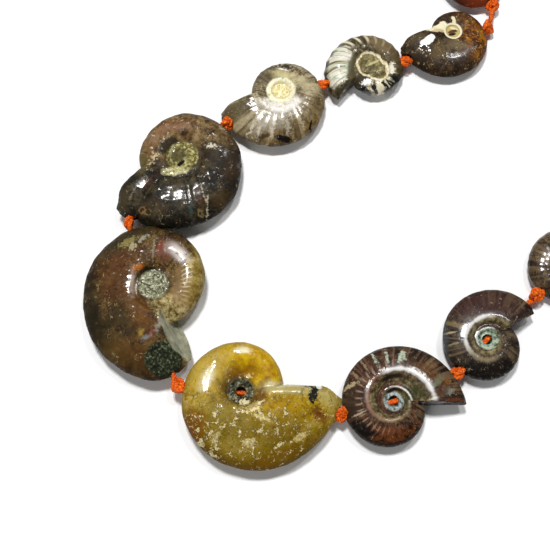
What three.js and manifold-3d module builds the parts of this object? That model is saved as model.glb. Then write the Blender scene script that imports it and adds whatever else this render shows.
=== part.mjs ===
// A necklace of eighteen polished ammonite fossils, graduated in size, strung on one orange cord that
// is knotted between them. It lies in a loop on a flat surface, each fossil on its polished side.
//
// Millimetres, +Z up. The origin is on the surface, under the middle of the loop's bounding box.
// Every fossil is one natural piece: a flat-coiled shell whose radius falls by a fixed ratio with each
// turn back from its mouth. A hole is drilled through each from knot to knot, and the edge is filed
// away a little where a knot sits against it. The cord and its knots are one piece.

import * as THREE from "three";
import { ParametricGeometry } from "three/addons/geometries/ParametricGeometry.js";
import { mergeVertices } from "three/addons/utils/BufferGeometryUtils.js";
import Module from "manifold-3d";

const wasm = await Module();
wasm.setup();

// Cord and drilling
const CORD_RADIUS = 0.75;
const HOLE_RADIUS = 1.24;
const KNOT_RADIUS = 1.9;
const KNOT_LENGTH = 3.8;
const KNOT_SHOULDER = 0.5; // share of a knot's half length over which it keeps its full radius
const TIE_SCALE = 1.3; // the closing knot, against the others
const TAIL_LENGTH = 6;
const SEAT_GAP = 0.36; // left between a knot and the edge filed away for it
const KNOT_LIFT = 0.2; // least height of a knot above the surface
const PIERCED_RADIUS = 1.4; // of a navel that is worn right through
const CORD_SIDES = 8;
const KNOT_SIDES = 6;
const HOLE_SIDES = 6;

// Proportions that all the shells share
const MOUTH_STEP = 0.03; // share of a turn over which the mouth drops to the whorl before it
const LIP_ARC = 0.11; // share of a turn over which the lip's corner is worn back
const THICKNESS_POWER = 0.5; // how fast a whorl thins as its radius falls: 1 keeps its proportions
const POLISHED_FLAT = 1.06; // uncut thickness over the thickness left after polishing
const SHOULDER_BEYOND_NAVEL = 0.17;

// The shell's section, from the middle of the navel to the keel: share of the whorl's radius, and share
// of its half thickness. The navel and the shoulder round it stand at each fossil's own radius.
const FRONT_SECTION = [
  [0, 0.34],
  ["navel", 0.42],
  ["shoulder", 1],
  [0.68, 1],
  [0.92, 0.52],
  [1, 0],
];
const BACK_SECTION = [
  [0, 0.34],
  ["navel", 0.42],
  ["shoulder", 1],
  [0.85, 0.72],
  [1, 0],
];
const FRONT_COLUMNS = 19;
const BACK_COLUMNS = 13;

// The cord's knots in order round the loop, in plan. Between the first two the cord is bare, and
// between all the others it runs through a fossil.
const KNOTS = [
  [21.9, 42.1],
  [19.8, 33.8],
  [-5, 22.8],
  [-29.2, 15.1],
  [-56.6, 2.1],
  [-83.2, -27.7],
  [-68.2, -73],
  [-26.2, -79.9],
  [5.2, -69.1],
  [27.5, -48],
  [48.8, -31.4],
  [67.5, -12.7],
  [81.3, 9.4],
  [87.3, 33.6],
  [83.9, 57.9],
  [70.5, 77.8],
  [49.2, 87.7],
  [26.3, 82.4],
  [18.5, 62],
];
const TIE_KNOT = 15;

// The fossils in front, each on the run of cord that starts at knot number run. reach is from the
// coil's middle to the lip, and growth is the ratio of radii one turn apart. mouth is the direction of
// the lip in degrees. turn is 1 where the shell coils inwards anticlockwise, seen from above, and -1
// where it coils inwards clockwise. navel is the radius of the navel over the whorl's radius, and lip
// is the share of the reach that the lip's corner has lost. oval is the share by which a shell has been
// pressed longer along Y, and shorter along X. pierced is where a navel is worn right through, so that the
// cord shows in it.
const FRONT = [
  {
    name: "ammonite_chestnut", color: 0x5a3a24, run: 1, centre: [9, 31.1], thick: 6.6,
    reach: 17.2, growth: 2.85, mouth: 190, turn: 1, navel: 0.17, lip: 0.14,
  },
  {
    name: "ammonite_banded", color: 0x6d6552, run: 2, centre: [-15.1, 19.8], thick: 6.4,
    reach: 14.8, growth: 2.1, mouth: 218, turn: -1, navel: 0.3, lip: 0.04,
  },
  {
    name: "ammonite_silver", color: 0x8a7c66, run: 3, centre: [-41.4, 11.3], thick: 7.8,
    reach: 18.9, growth: 2.3, mouth: 194, turn: 1, navel: 0.26, lip: 0.07,
  },
  {
    name: "ammonite_dark", color: 0x4a3d2e, run: 4, centre: [-68.6, -8.9], thick: 9.6,
    reach: 22.8, growth: 2.0, mouth: 213, turn: 1, navel: 0.28, lip: 0.06,
  },
  {
    name: "ammonite_brown", color: 0x5c4322, run: 5, centre: [-74.6, -45.6], thick: 11,
    reach: 27.4, growth: 2.45, mouth: 302, turn: -1, navel: 0.26, lip: 0.19, oval: 0.03,
  },
  {
    name: "ammonite_golden", color: 0xb08a25, run: 6, centre: [-51, -74], thick: 10.6,
    pierced: [-51.8, -74.5],
    reach: 25.4, growth: 2.5, mouth: 0, turn: -1, navel: 0.18, lip: 0.04, oval: 0.015,
  },
  {
    name: "ammonite_maroon", color: 0x57362b, run: 7, centre: [-12.6, -77.9], thick: 8.4,
    pierced: [-12.3, -76.7],
    reach: 19.4, growth: 2.25, mouth: 0, turn: 1, navel: 0.32, lip: 0.05,
  },
  {
    name: "ammonite_ring", color: 0x584a3c, run: 8, centre: [14, -61.1], thick: 7.8,
    pierced: [13.1, -60.3],
    reach: 16.5, growth: 2.2, mouth: 35, turn: 1, navel: 0.32, lip: 0.05,
  },
  {
    name: "ammonite_russet", color: 0x5e241a, run: 18, centre: [17.6, 49.8], thick: 5.4,
    reach: 12.8, growth: 2.3, mouth: 118, turn: 1, navel: 0.2, lip: 0.06,
  },
];

// The fossils at the back are plain ones of a kind, and each fills its run of cord.
const BACK_RUNS = [9, 10, 11, 12, 13, 14, 15, 16, 17];
const BACK_GROWTH = 2.25;
const BACK_THICKNESS = 0.27; // over the length along the cord
const BACK_MOUTH_AHEAD = 28; // degrees from the cord to the lip
const BACK_NAVEL = 0.24;
const BACK_LIP = 0.05;
const BACK_KNOT_ROOM = 1.7; // from a knot's middle to the fossil beside it
const BACK_COLORS = [0x4f3a2b, 0x7a6a50, 0x5a4634];

function backFossil(run, index) {
  const from = new THREE.Vector2(...KNOTS[run]);
  const to = new THREE.Vector2(...KNOTS[(run + 1) % KNOTS.length]);
  const way = to.clone().sub(from);
  const length = way.length() - 2 * BACK_KNOT_ROOM;
  const turn = index % 2 ? -1 : 1;
  const ahead = BACK_GROWTH ** (-BACK_MOUTH_AHEAD / 360); // radius where the cord comes out near the lip
  const behind = ahead * BACK_GROWTH ** -0.5; // and at the other end of the hole, both over the reach
  const reach = length / (ahead + behind);
  const centre = from.addScaledVector(way.clone().normalize(), BACK_KNOT_ROOM + reach * behind);
  return {
    name: `ammonite_back_${String(index + 1).padStart(2, "0")}`,
    color: BACK_COLORS[index % BACK_COLORS.length],
    run,
    centre: [centre.x, centre.y],
    thick: length * BACK_THICKNESS,
    reach,
    growth: BACK_GROWTH,
    mouth: THREE.MathUtils.radToDeg(way.angle()) - turn * BACK_MOUTH_AHEAD,
    turn,
    navel: BACK_NAVEL,
    lip: BACK_LIP,
  };
}

const FOSSILS = [...FRONT, ...BACK_RUNS.map(backFossil)];

// Direction in which the shell's outline lies, turns back from the lip.
function direction(fossil, turns) {
  return THREE.MathUtils.degToRad(fossil.mouth + fossil.turn * turns * 360);
}

// Radius of the shell's outline there.
function outline(fossil, turns) {
  const nearLip = Math.max(0, 1 - turns / LIP_ARC);
  const worn = 1 - fossil.lip * nearLip ** 2;
  const drawn = 1 - (fossil.oval ?? 0) * Math.cos(2 * direction(fossil, turns));
  return fossil.reach * fossil.growth ** -turns * worn * drawn;
}

// Half the shell's thickness there, cut off flat where it has been polished.
function halfThickness(fossil, turns) {
  const grown = POLISHED_FLAT * fossil.growth ** (-turns * THICKNESS_POWER);
  return (fossil.thick / 2) * Math.min(1, grown);
}

// The whole shell, as columns round the coil by rings from the lower navel, over the keel, to the upper.
function fossilGeometry(fossil) {
  const inFront = FRONT.includes(fossil);
  const section = inFront ? FRONT_SECTION : BACK_SECTION;
  const columns = inFront ? FRONT_COLUMNS : BACK_COLUMNS;
  const rings = [
    ...section.map(([where, height]) => [where, -height]),
    ...section.slice(0, -1).reverse(),
  ];
  const own = { navel: fossil.navel, shoulder: fossil.navel + SHOULDER_BEYOND_NAVEL };
  const last = columns - 1;

  function surface(u, v, point) {
    const column = Math.round(u * columns) % columns;
    const step = fossil.turn > 0 ? column : last - column;
    const turns = (step / last) * (1 - MOUTH_STEP);
    const angle = direction(fossil, turns);
    const [where, height] = rings[Math.round(v * (rings.length - 1))];
    const radius = outline(fossil, turns) * (own[where] ?? where);
    const z = halfThickness(fossil, where === 0 ? 0.5 : turns) * height;
    point.set(Math.cos(angle) * radius, Math.sin(angle) * radius, z);
  }
  return new ParametricGeometry(surface, columns, rings.length - 1);
}

// A closed geometry as a solid: shared vertices are merged, and triangles that a pole closes up go.
function solid(geometry) {
  geometry.deleteAttribute("normal");
  geometry.deleteAttribute("uv");
  const merged = mergeVertices(geometry, 1e-4);
  const corners = merged.index.array;
  const triangles = [];
  for (let i = 0; i < corners.length; i += 3) {
    const [a, b, c] = corners.slice(i, i + 3);
    if (a !== b && b !== c && c !== a) triangles.push(a, b, c);
  }
  const mesh = new wasm.Mesh({
    numProp: 3,
    vertProperties: merged.attributes.position.array,
    triVerts: new Uint32Array(triangles),
  });
  return new wasm.Manifold(mesh);
}

function geometryOf(manifold) {
  const mesh = manifold.getMesh();
  const geometry = new THREE.BufferGeometry();
  geometry.setAttribute("position", new THREE.BufferAttribute(new Float32Array(mesh.vertProperties), 3));
  geometry.setIndex(new THREE.BufferAttribute(new Uint32Array(mesh.triVerts), 1));
  geometry.computeVertexNormals();
  return geometry;
}

const knotScale = (i) => (i === TIE_KNOT ? TIE_SCALE : 1);

// A knot's height is midway between the middles of the fossils either side, or just off the surface if
// that is higher.
function knotPoint([x, y], i) {
  const before = (i - 1 + KNOTS.length) % KNOTS.length;
  const beside = FOSSILS.filter((fossil) => fossil.run === i || fossil.run === before);
  const middle = beside.reduce((sum, fossil) => sum + fossil.thick / 2, 0) / beside.length;
  return new THREE.Vector3(x, y, Math.max(middle, KNOT_RADIUS * knotScale(i) + KNOT_LIFT));
}

const POINTS = KNOTS.map(knotPoint);
const pointAt = (i) => POINTS[(i + POINTS.length) % POINTS.length];

// The middle line of the cord from one knot to the next, which goes by way of a pierced navel.
function routeFrom(i) {
  const from = pointAt(i);
  const to = pointAt(i + 1);
  const pierced = FOSSILS.find((fossil) => fossil.run === i)?.pierced;
  const between = pierced ? [new THREE.Vector3(...pierced, (from.z + to.z) / 2)] : [];
  return [from, ...between, to];
}

// Turns a shape made along +Y to lie along way, and moves its middle to place.
function lay(geometry, way, place) {
  const up = new THREE.Vector3(0, 1, 0);
  geometry.applyQuaternion(new THREE.Quaternion().setFromUnitVectors(up, way.clone().normalize()));
  return geometry.translate(place.x, place.y, place.z);
}

function rod(from, to, radius, sides) {
  const way = to.clone().sub(from);
  const middle = from.clone().add(to).multiplyScalar(0.5);
  return lay(new THREE.CylinderGeometry(radius, radius, way.length(), sides), way, middle);
}

// Rods end to end along a route.
function rods(route, radius, sides) {
  return route.slice(1).map((to, i) => rod(route[i], to, radius, sides));
}

// A knot is a plump barrel that lies along the cord, grown all over by a margin.
function knot(i, margin) {
  const radius = KNOT_RADIUS * knotScale(i) + margin;
  const half = (KNOT_LENGTH / 2) * knotScale(i) + margin;
  const profile = [
    new THREE.Vector2(0, -half),
    new THREE.Vector2(radius, -half * KNOT_SHOULDER),
    new THREE.Vector2(radius, half * KNOT_SHOULDER),
    new THREE.Vector2(0, half),
  ];
  const way = pointAt(i + 1).clone().sub(pointAt(i - 1));
  return lay(new THREE.LatheGeometry(profile, KNOT_SIDES), way, pointAt(i));
}

// The two cut ends of the cord stand out of the closing knot, away from the middle of the loop.
const TAIL_WAYS = [new THREE.Vector3(0.9, 0.9, 0), new THREE.Vector3(0.2, 1.25, 0)];

function cordSolid() {
  const knots = POINTS.map((_, i) => knot(i, 0));
  const runs = POINTS.flatMap((_, i) => rods(routeFrom(i), CORD_RADIUS, CORD_SIDES));
  const parts = [...knots, ...runs];
  for (const way of TAIL_WAYS) {
    const end = pointAt(TIE_KNOT).clone().add(way.setLength(TAIL_LENGTH));
    parts.push(rod(pointAt(TIE_KNOT), end, CORD_RADIUS, CORD_SIDES));
  }
  return parts.map(solid).reduce((whole, part) => whole.add(part));
}

function piercing(fossil) {
  const low = new THREE.Vector3(...fossil.pierced, -1);
  const high = low.clone().setZ(fossil.thick + 1);
  return rod(low, high, PIERCED_RADIUS, CORD_SIDES);
}

// A shell in its own frame, drilled from knot to knot, filed away for both knots, and pierced.
function drilledFossil(fossil, place) {
  const toOwnFrame = place.clone().invert();
  const cutters = rods(routeFrom(fossil.run), HOLE_RADIUS, HOLE_SIDES);
  cutters.push(knot(fossil.run, SEAT_GAP), knot(fossil.run + 1, SEAT_GAP));
  if (fossil.pierced) cutters.push(piercing(fossil));
  const shell = solid(fossilGeometry(fossil));
  return cutters.reduce((left, cutter) => left.subtract(solid(cutter.applyMatrix4(toOwnFrame))), shell);
}

const necklace = new THREE.Group();

for (const fossil of FOSSILS) {
  const material = new THREE.MeshStandardMaterial({ color: fossil.color, roughness: 0.18, metalness: 0 });
  const mesh = new THREE.Mesh(undefined, material);
  mesh.name = fossil.name;
  mesh.position.set(...fossil.centre, fossil.thick / 2);
  mesh.updateMatrix();
  mesh.geometry = geometryOf(drilledFossil(fossil, mesh.matrix));
  necklace.add(mesh);
}

const cordMaterial = new THREE.MeshStandardMaterial({ color: 0xe0560f, roughness: 0.85, metalness: 0 });
const cord = new THREE.Mesh(geometryOf(cordSolid()), cordMaterial);
cord.name = "cord";
necklace.add(cord);

export default necklace;
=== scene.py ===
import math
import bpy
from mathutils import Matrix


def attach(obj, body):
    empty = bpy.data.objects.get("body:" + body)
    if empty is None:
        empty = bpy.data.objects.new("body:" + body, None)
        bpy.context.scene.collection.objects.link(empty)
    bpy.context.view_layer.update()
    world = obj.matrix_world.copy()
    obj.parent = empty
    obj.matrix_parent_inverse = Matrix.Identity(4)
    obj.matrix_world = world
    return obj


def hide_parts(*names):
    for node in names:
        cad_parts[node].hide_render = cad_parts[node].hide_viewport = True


bl_info = {
    "name": "Ammonite Necklace",
    "version": (1, 0, 0),
    "blender": (4, 5, 0),
    "location": "3D View > Sidebar > Ammonites",
    "description": "Models a necklace of polished, drilled ammonites on a knotted cord",
    "category": "Add Mesh",
}

import bpy
import numpy as np
from bpy.props import FloatProperty, FloatVectorProperty, PointerProperty
from mathutils import Vector

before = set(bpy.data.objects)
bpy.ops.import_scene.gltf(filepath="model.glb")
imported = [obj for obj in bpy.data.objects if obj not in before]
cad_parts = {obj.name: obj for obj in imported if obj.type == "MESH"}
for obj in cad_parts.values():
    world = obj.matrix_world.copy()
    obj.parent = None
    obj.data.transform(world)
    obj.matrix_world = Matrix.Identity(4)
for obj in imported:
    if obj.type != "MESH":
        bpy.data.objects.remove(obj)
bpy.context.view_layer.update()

MM = 0.001
TURN = 2 * math.pi

# --- Where things lie, in millimetres ---------------------------------------------------------

# The cord's knots in order round the loop, in plan.
KNOTS = [
    (21.9, 42.1), (19.8, 33.8), (-5, 22.8), (-29.2, 15.1), (-56.6, 2.1), (-83.2, -27.7),
    (-68.2, -73), (-26.2, -79.9), (5.2, -69.1), (27.5, -48), (48.8, -31.4), (67.5, -12.7),
    (81.3, 9.4), (87.3, 33.6), (83.9, 57.9), (70.5, 77.8), (49.2, 87.7), (26.3, 82.4),
    (18.5, 62),
]
TIE_KNOT = 15  # where the loop is closed, with a larger knot and two cut ends
TIE_SCALE = 1.3

# A shell is flat, thickest at the lip, and its radius falls from reach by growth with each turn
# back from the lip. Angles are in degrees, arcs in shares of a turn, and places on a whorl in
# shares of its own radius.
#   run       the stretch of cord it is threaded on, counted from that knot
#   mouth     the lip's direction
#   turn      1 where the shell coils inwards anticlockwise, seen from above, or -1
#   seam      where an outer whorl lets the one inside it show
#   crest     where the whorl is thickest, and crests the same at several arcs from the lip
#   lip       how far the lip's corner is worn back, or drawn out where it is below 0
#   navel     how far the navel is set over, and pierced where it is drilled through
#   floor     the radius of the stone that fills the navel, and its height over the shell's
PLAIN_SHELL = dict(
    ridged=False,  # a crest drawn up to a ridge
    ribs=30, rib=0, rib_from=0.5,  # how many to a turn, how high, and where they begin
    sweep=0.012,  # how far ribs and growth lines curve back
    grooves=(),  # the arc, depth and width of each furrow across the whorl
    blunt=(0.1, 0.3, 0.02),  # how far the lip's edge is rounded in and sinks, and over what arc
    lean=0, droop=0, slant=0,  # arcs by which the lip's edge, its corner and its face lean
    oval=0,  # how far the outline is pressed to an oval
    swell=0.25,  # how deep its natural unevenness is
)
FOSSILS = {
    "chestnut": dict(run=1, centre=(9, 31.1), thick=6.6, reach=17.2, growth=2.85, mouth=178,
                     turn=1, lip=0.04, seam=0.17, crest=0.5, blunt=(0.12, 0.5, 0.04),
                     navel=(0, 0.6), floor=(2.3, 0.55), lean=0.1, droop=0.015,
                     crests=((0, 0.42), (0.27, 0.56), (0.6, 0.6), (1, 0.5)), swell=0.35),
    "banded": dict(run=2, centre=(-15.1, 19.8), thick=6.4, reach=14.5, growth=2.1, mouth=218,
                   turn=-1, lip=0.04, seam=0.36, crest=0.6, navel=(-0.2, 0.4), floor=(4.6, 0.62),
                   ribs=22, rib=0.34, rib_from=0.55, sweep=0.03),
    "silver": dict(run=3, centre=(-41.4, 11.3), thick=7.8, reach=18.9, growth=2.3, mouth=184,
                   turn=1, lip=0.02, seam=0.22, crest=0.38, navel=(0.1, 0.5), floor=(3.4, 0.6),
                   ribs=30, rib=0.16, rib_from=0.45, slant=0.01, blunt=(0.1, 0.5, 0.035), swell=0.4,
                   lean=0.068, droop=0.015),
    "dark": dict(run=4, centre=(-69.2, -9.1), thick=9.6, reach=23.3, growth=2.06, mouth=201,
                 turn=1, lip=0, seam=0.29, crest=0.56, navel=(0.6, 0.2), floor=(5.0, 0.55),
                 crests=((0, 0.53), (0.3, 0.56), (0.6, 0.62), (1, 0.58)), blunt=(0.1, 0.55, 0.045),
                 grooves=((0.085, 1.2, 0.011), (0.23, 0.4, 0.008), (0.39, 0.2, 0.02)), swell=1.1,
                 lean=0.11, droop=0.015),
    "brown": dict(run=5, centre=(-74.6, -45.6), thick=11, reach=27.4, growth=2.45, mouth=302,
                  turn=-1, lip=0.19, oval=0.03, seam=0.25, crest=0.45, navel=(-0.8, -0.5),
                  floor=(5.4, 0.5), crests=((0, 0.34), (0.35, 0.33), (0.56, 0.42), (0.66, 0.64),
                                            (0.85, 0.64), (1, 0.5)),
                  slant=0.055, blunt=(0.03, 0.1, 0.008), grooves=((0.6, 0.7, 0.014),), swell=0.7),
    "golden": dict(run=6, centre=(-51, -74), thick=10.6, reach=25.7, growth=2.5, mouth=4.5,
                   turn=-1, lip=-0.015, seam=0.17, crest=0.5, navel=(-0.8, -0.5), floor=(3.8, 0.5),
                   crests=((0, 0.42), (0.12, 0.34), (0.3, 0.28), (0.45, 0.5), (0.6, 0.64),
                           (0.8, 0.76), (1, 0.66)),
                   blunt=(0.06, 0.5, 0.035), lean=0.03, droop=0.021, swell=0.5,
                   pierced=(-51.8, -74.5)),
    "maroon": dict(run=7, centre=(-12.6, -77.9), thick=8.4, reach=19.4, growth=2.32, mouth=4,
                   turn=1, lip=0, seam=0.34, crest=0.56, ridged=True, navel=(0.3, 1.2),
                   crests=((0, 0.55), (0.2, 0.58), (0.44, 0.5), (0.8, 0.44), (1, 0.46)),
                   blunt=(0, 0.06, 0.006), pierced=(-12.3, -76.7), ribs=30, rib=0.05,
                   rib_from=0.6, swell=0.2),
    "ring": dict(run=8, centre=(13.7, -61.1), thick=7.8, reach=16.5, growth=2.2, mouth=35,
                 turn=1, lip=0.05, seam=0.32, crest=0.48, ridged=True, navel=(-0.6, 0.8),
                 crests=((0, 0.42), (0.24, 0.44), (0.38, 0.52), (0.65, 0.52), (1, 0.5)),
                 pierced=(13.1, -60.3), ribs=28, rib=0.04, rib_from=0.6, swell=0.2),
    "russet": dict(run=18, centre=(17.6, 49.8), thick=5.4, reach=12.8, growth=2.3, mouth=118,
                   turn=1, lip=0.06, seam=0.2, crest=0.5, floor=(2.1, 0.55)),
}
# Body, deep and pale tint of each stone.
STONE_TINTS = {
    "chestnut": ((64, 45, 27), (24, 16, 10), (112, 86, 52)),
    "banded": ((88, 78, 54), (40, 34, 22), (134, 120, 86)),
    "silver": ((126, 112, 84), (72, 60, 38), (180, 168, 136)),
    "dark": ((42, 37, 27), (16, 14, 10), (80, 70, 50)),
    "brown": ((80, 59, 31), (34, 26, 14), (126, 102, 60)),
    "golden": ((176, 146, 44), (122, 96, 22), (216, 188, 108)),
    "maroon": ((66, 42, 29), (24, 14, 9), (124, 94, 68)),
    "ring": ((56, 44, 34), (21, 16, 12), (98, 82, 62)),
    "russet": ((70, 24, 13), (28, 9, 5), (112, 48, 26)),
    "umber": ((68, 52, 36), (27, 20, 13), (132, 110, 80)),
    "sand": ((116, 100, 70), (58, 47, 30), (180, 166, 128)),
    "bronze": ((82, 64, 36), (34, 26, 14), (156, 128, 72)),
}
BACK_FINISHES = ("umber", "sand", "bronze")
BACK_RUNS = (9, 10, 11, 12, 13, 14, 15, 16, 17)
BACK_GROWTH = 2.25
BACK_THICKNESS = 0.27  # over the length along the cord
BACK_MOUTH_AHEAD = 28  # degrees from the cord to the lip
BACK_KNOT_ROOM = 1.7  # from a knot's middle to the shells either side

LIP_ARC = 0.11  # over which the lip's corner is worn back
BLUNT_MIDDLE = 0.62  # where on the whorl a rounded lip shrinks towards
SWEEP_MIDDLE = 0.6  # where on the whorl ribs and growth lines run straight out
NAVEL_REACH = (0.12, 0.5)  # shares of the reach between which the navel's shift fades out
COIL_TURNS = 3.3
SECTION_POINTS = 20  # on each face, from the keel to the seam
SECTION_STEPS = 12  # between two key points of the section
SLICE_STEPS = 4
SWELL_SIZE = 7
PIT_SIZE = 1.6
PIT_DEPTH = 0.03
WELD = 1e-6  # metres between points that are one point
SHELL_CORNER = 40  # degrees past which an edge is left sharp
CORD_CORNER = 50
KNOT_RADIUS = 1.9
KNOT_LIFT = 0.2  # from the surface to the lowest point of a knot
PIERCED_RADIUS = 1.4


def back_fossil(run, index):
    """A fossil at the back fills its run of cord, lip ahead of the cord."""
    start, end = (Vector(KNOTS[i % len(KNOTS)]) for i in (run, run + 1))
    way = end - start
    length = way.length - 2 * BACK_KNOT_ROOM
    turn = -1 if index % 2 else 1
    ahead = BACK_GROWTH ** (-BACK_MOUTH_AHEAD / 360)
    behind = ahead * BACK_GROWTH**-0.5
    reach = length / (ahead + behind)
    centre = start + way.normalized() * (BACK_KNOT_ROOM + reach * behind)
    return dict(
        run=run, centre=tuple(centre), thick=length * BACK_THICKNESS, reach=reach,
        growth=BACK_GROWTH, mouth=math.degrees(math.atan2(way.y, way.x)) - turn * BACK_MOUTH_AHEAD,
        turn=turn, lip=0.05, seam=0.26, crest=0.5, floor=(0.16 * reach, 0.5), ribs=26, rib=0.14,
        rib_from=0.45, grain=0.26,
    )


FOSSILS = {name: {**PLAIN_SHELL, **coil} for name, coil in FOSSILS.items()}
BACK_FOSSILS = {
    f"back_{index + 1:02d}": {**PLAIN_SHELL, **back_fossil(run, index)}
    for index, run in enumerate(BACK_RUNS)
}
ALL_FOSSILS = {**FOSSILS, **BACK_FOSSILS}


def knot_scale(index):
    return TIE_SCALE if index == TIE_KNOT else 1


def knot_point(index):
    """A knot's height is midway between the middles of the fossils either side of it."""
    beside = (index, (index - 1) % len(KNOTS))
    middles = [f["thick"] / 2 for f in ALL_FOSSILS.values() if f["run"] in beside]
    height = max(sum(middles) / len(middles), KNOT_RADIUS * knot_scale(index) + KNOT_LIFT)
    return Vector((*KNOTS[index], height))


POINTS = [knot_point(index) for index in range(len(KNOTS))]


def route(run):
    """The cord's middle line from one knot to the next, by way of a pierced navel."""
    start, end = POINTS[run], POINTS[(run + 1) % len(POINTS)]
    pierced = [f["pierced"] for f in ALL_FOSSILS.values() if f["run"] == run and "pierced" in f]
    return [start, *(Vector((*p, (start.z + end.z) / 2)) for p in pierced), end]


# --- Blender's tools, used by name -------------------------------------------------------------


def pick(piece):
    """Selects one piece, and nothing else."""
    bpy.ops.object.select_all(action="DESELECT")
    piece.select_set(True)
    bpy.context.view_layer.objects.active = piece


def start(name):
    """The new primitive, under its own name."""
    piece = bpy.context.object
    piece.name = piece.data.name = name
    return piece


def modify(piece, kind, **settings):
    """Adds one modifier and applies it."""
    pick(piece)
    modifier = piece.modifiers.new(kind.title(), kind)
    for key, value in settings.items():
        setattr(modifier, key, value)
    bpy.ops.object.modifier_apply(modifier=modifier.name)


def edit(piece):
    pick(piece)
    bpy.ops.object.mode_set(mode="EDIT")
    bpy.ops.mesh.select_all(action="SELECT")


def leave_edit():
    bpy.ops.object.mode_set(mode="OBJECT")


def corners(piece):
    """A piece's vertices as an array of rows."""
    places = np.empty(len(piece.data.vertices) * 3, np.float32)
    piece.data.vertices.foreach_get("co", places)
    return places.reshape(-1, 3).astype(float)


def move_corners(piece, places):
    piece.data.vertices.foreach_set("co", places.astype(np.float32).ravel())
    piece.data.update()


def settle(piece):
    """Puts a piece's place and turn into its mesh, so that the object sits at the origin."""
    pick(piece)
    bpy.ops.object.transform_apply(location=True, rotation=True, scale=True)


def ease(values, low, high):
    """0 below low, 1 above high, and a smooth rise between."""
    share = np.clip((values - low) / (high - low), 0, 1)
    return share * share * (3 - 2 * share)


# --- Shells ------------------------------------------------------------------------------------


def through(keys, count):
    """count points spread along a smooth line through the key points."""
    keys = np.array(keys, float)
    padded = np.vstack([2 * keys[0] - keys[1], keys, 2 * keys[-1] - keys[-2]])
    line = []
    for a, b, c, d in zip(padded, padded[1:], padded[2:], padded[3:]):
        for u in np.linspace(0, 1, SECTION_STEPS, endpoint=False):
            line.append(0.5 * (2 * b + (c - a) * u + (2 * a - 5 * b + 4 * c - d) * u**2
                               + (3 * b - a - 3 * c + d) * u**3))
    line = np.vstack([*line, keys[-1]])
    walked = np.concatenate([[0], np.cumsum(np.linalg.norm(np.diff(line, axis=0), axis=1))])
    stops = np.linspace(0, walked[-1], count)
    return np.column_stack([np.interp(stops, walked, line[:, k]) for k in range(line.shape[1])])


def domed_section(seam, crest):
    """Keel to seam on one face, as shares of the whorl's radius and half thickness."""
    outer = [(crest + (1 - crest) * x, (1 - x**2.2) ** 0.62)
             for x in (1, 0.97, 0.9, 0.78, 0.6, 0.4, 0.2)]
    inner = [(crest - (crest - seam) * x, 1 - 0.42 * x**2.2) for x in (0, 0.3, 0.6, 0.9)]
    return outer + inner + [(seam, 0.5), (seam - 0.01, 0.3), (seam - 0.01, 0.05)]


def crested_section(seam, crest):
    """A flank that climbs to a round ridge and falls away again inside it."""
    flank = ((1, 0), (0.98, 0.2), (0.92, 0.38), (0.8, 0.55), (0.62, 0.71), (0.42, 0.85),
             (0.22, 0.95), (0.08, 0.99))
    outer = [(crest + (1 - crest) * x, y) for x, y in flank]
    ridge = [(crest, 1), (crest - 0.04, 0.98), (crest - 0.09, 0.88), (crest - 0.15, 0.72)]
    return outer + ridge + [(seam, 0.6), (seam - 0.02, 0.4), (seam - 0.02, 0.05)]


def whorl_slice(name, coil, section, arc):
    """One rib's length of the whorl: a ring drawn to the section, then extruded and turned."""
    bpy.ops.object.select_all(action="DESELECT")
    bpy.ops.mesh.primitive_circle_add(vertices=len(section), radius=coil["reach"] * MM)
    piece = start(name)
    scale = np.array([coil["reach"], coil["thick"] / 2]) * MM
    places = np.zeros((len(section), 3))
    places[:, [0, 2]] = section * scale
    move_corners(piece, places)
    ring = piece.data.attributes.new("ring", "INT", "POINT")
    ring.data.foreach_set("value", np.arange(len(section), dtype=np.int32))
    edit(piece)
    shrink = coil["growth"] ** (-arc / SLICE_STEPS)
    for _ in range(SLICE_STEPS):
        bpy.ops.mesh.extrude_edges_move()
        # With no window, a turn goes the other way, so a positive value turns clockwise.
        bpy.ops.transform.rotate(value=-arc / SLICE_STEPS * TURN, orient_axis="Z",
                                 center_override=(0, 0, 0))
        bpy.ops.transform.resize(value=(shrink, shrink, shrink**0.5), center_override=(0, 0, 0))
    leave_edit()
    return piece


def coil_up(piece, coil, arc):
    """Repeats the slice along the coil, each copy turned on and shrunk by the same ratio."""
    bpy.ops.object.select_all(action="DESELECT")
    shrink = coil["growth"] ** -arc
    bpy.ops.object.empty_add(location=(0, 0, 0), rotation=(0, 0, arc * TURN))
    pivot = bpy.context.object
    pivot.scale = (shrink, shrink, shrink**0.5)
    bpy.context.view_layer.update()
    modify(piece, "ARRAY", count=round(COIL_TURNS / arc), use_relative_offset=False,
           use_object_offset=True, offset_object=pivot)
    bpy.data.objects.remove(pivot)


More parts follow.
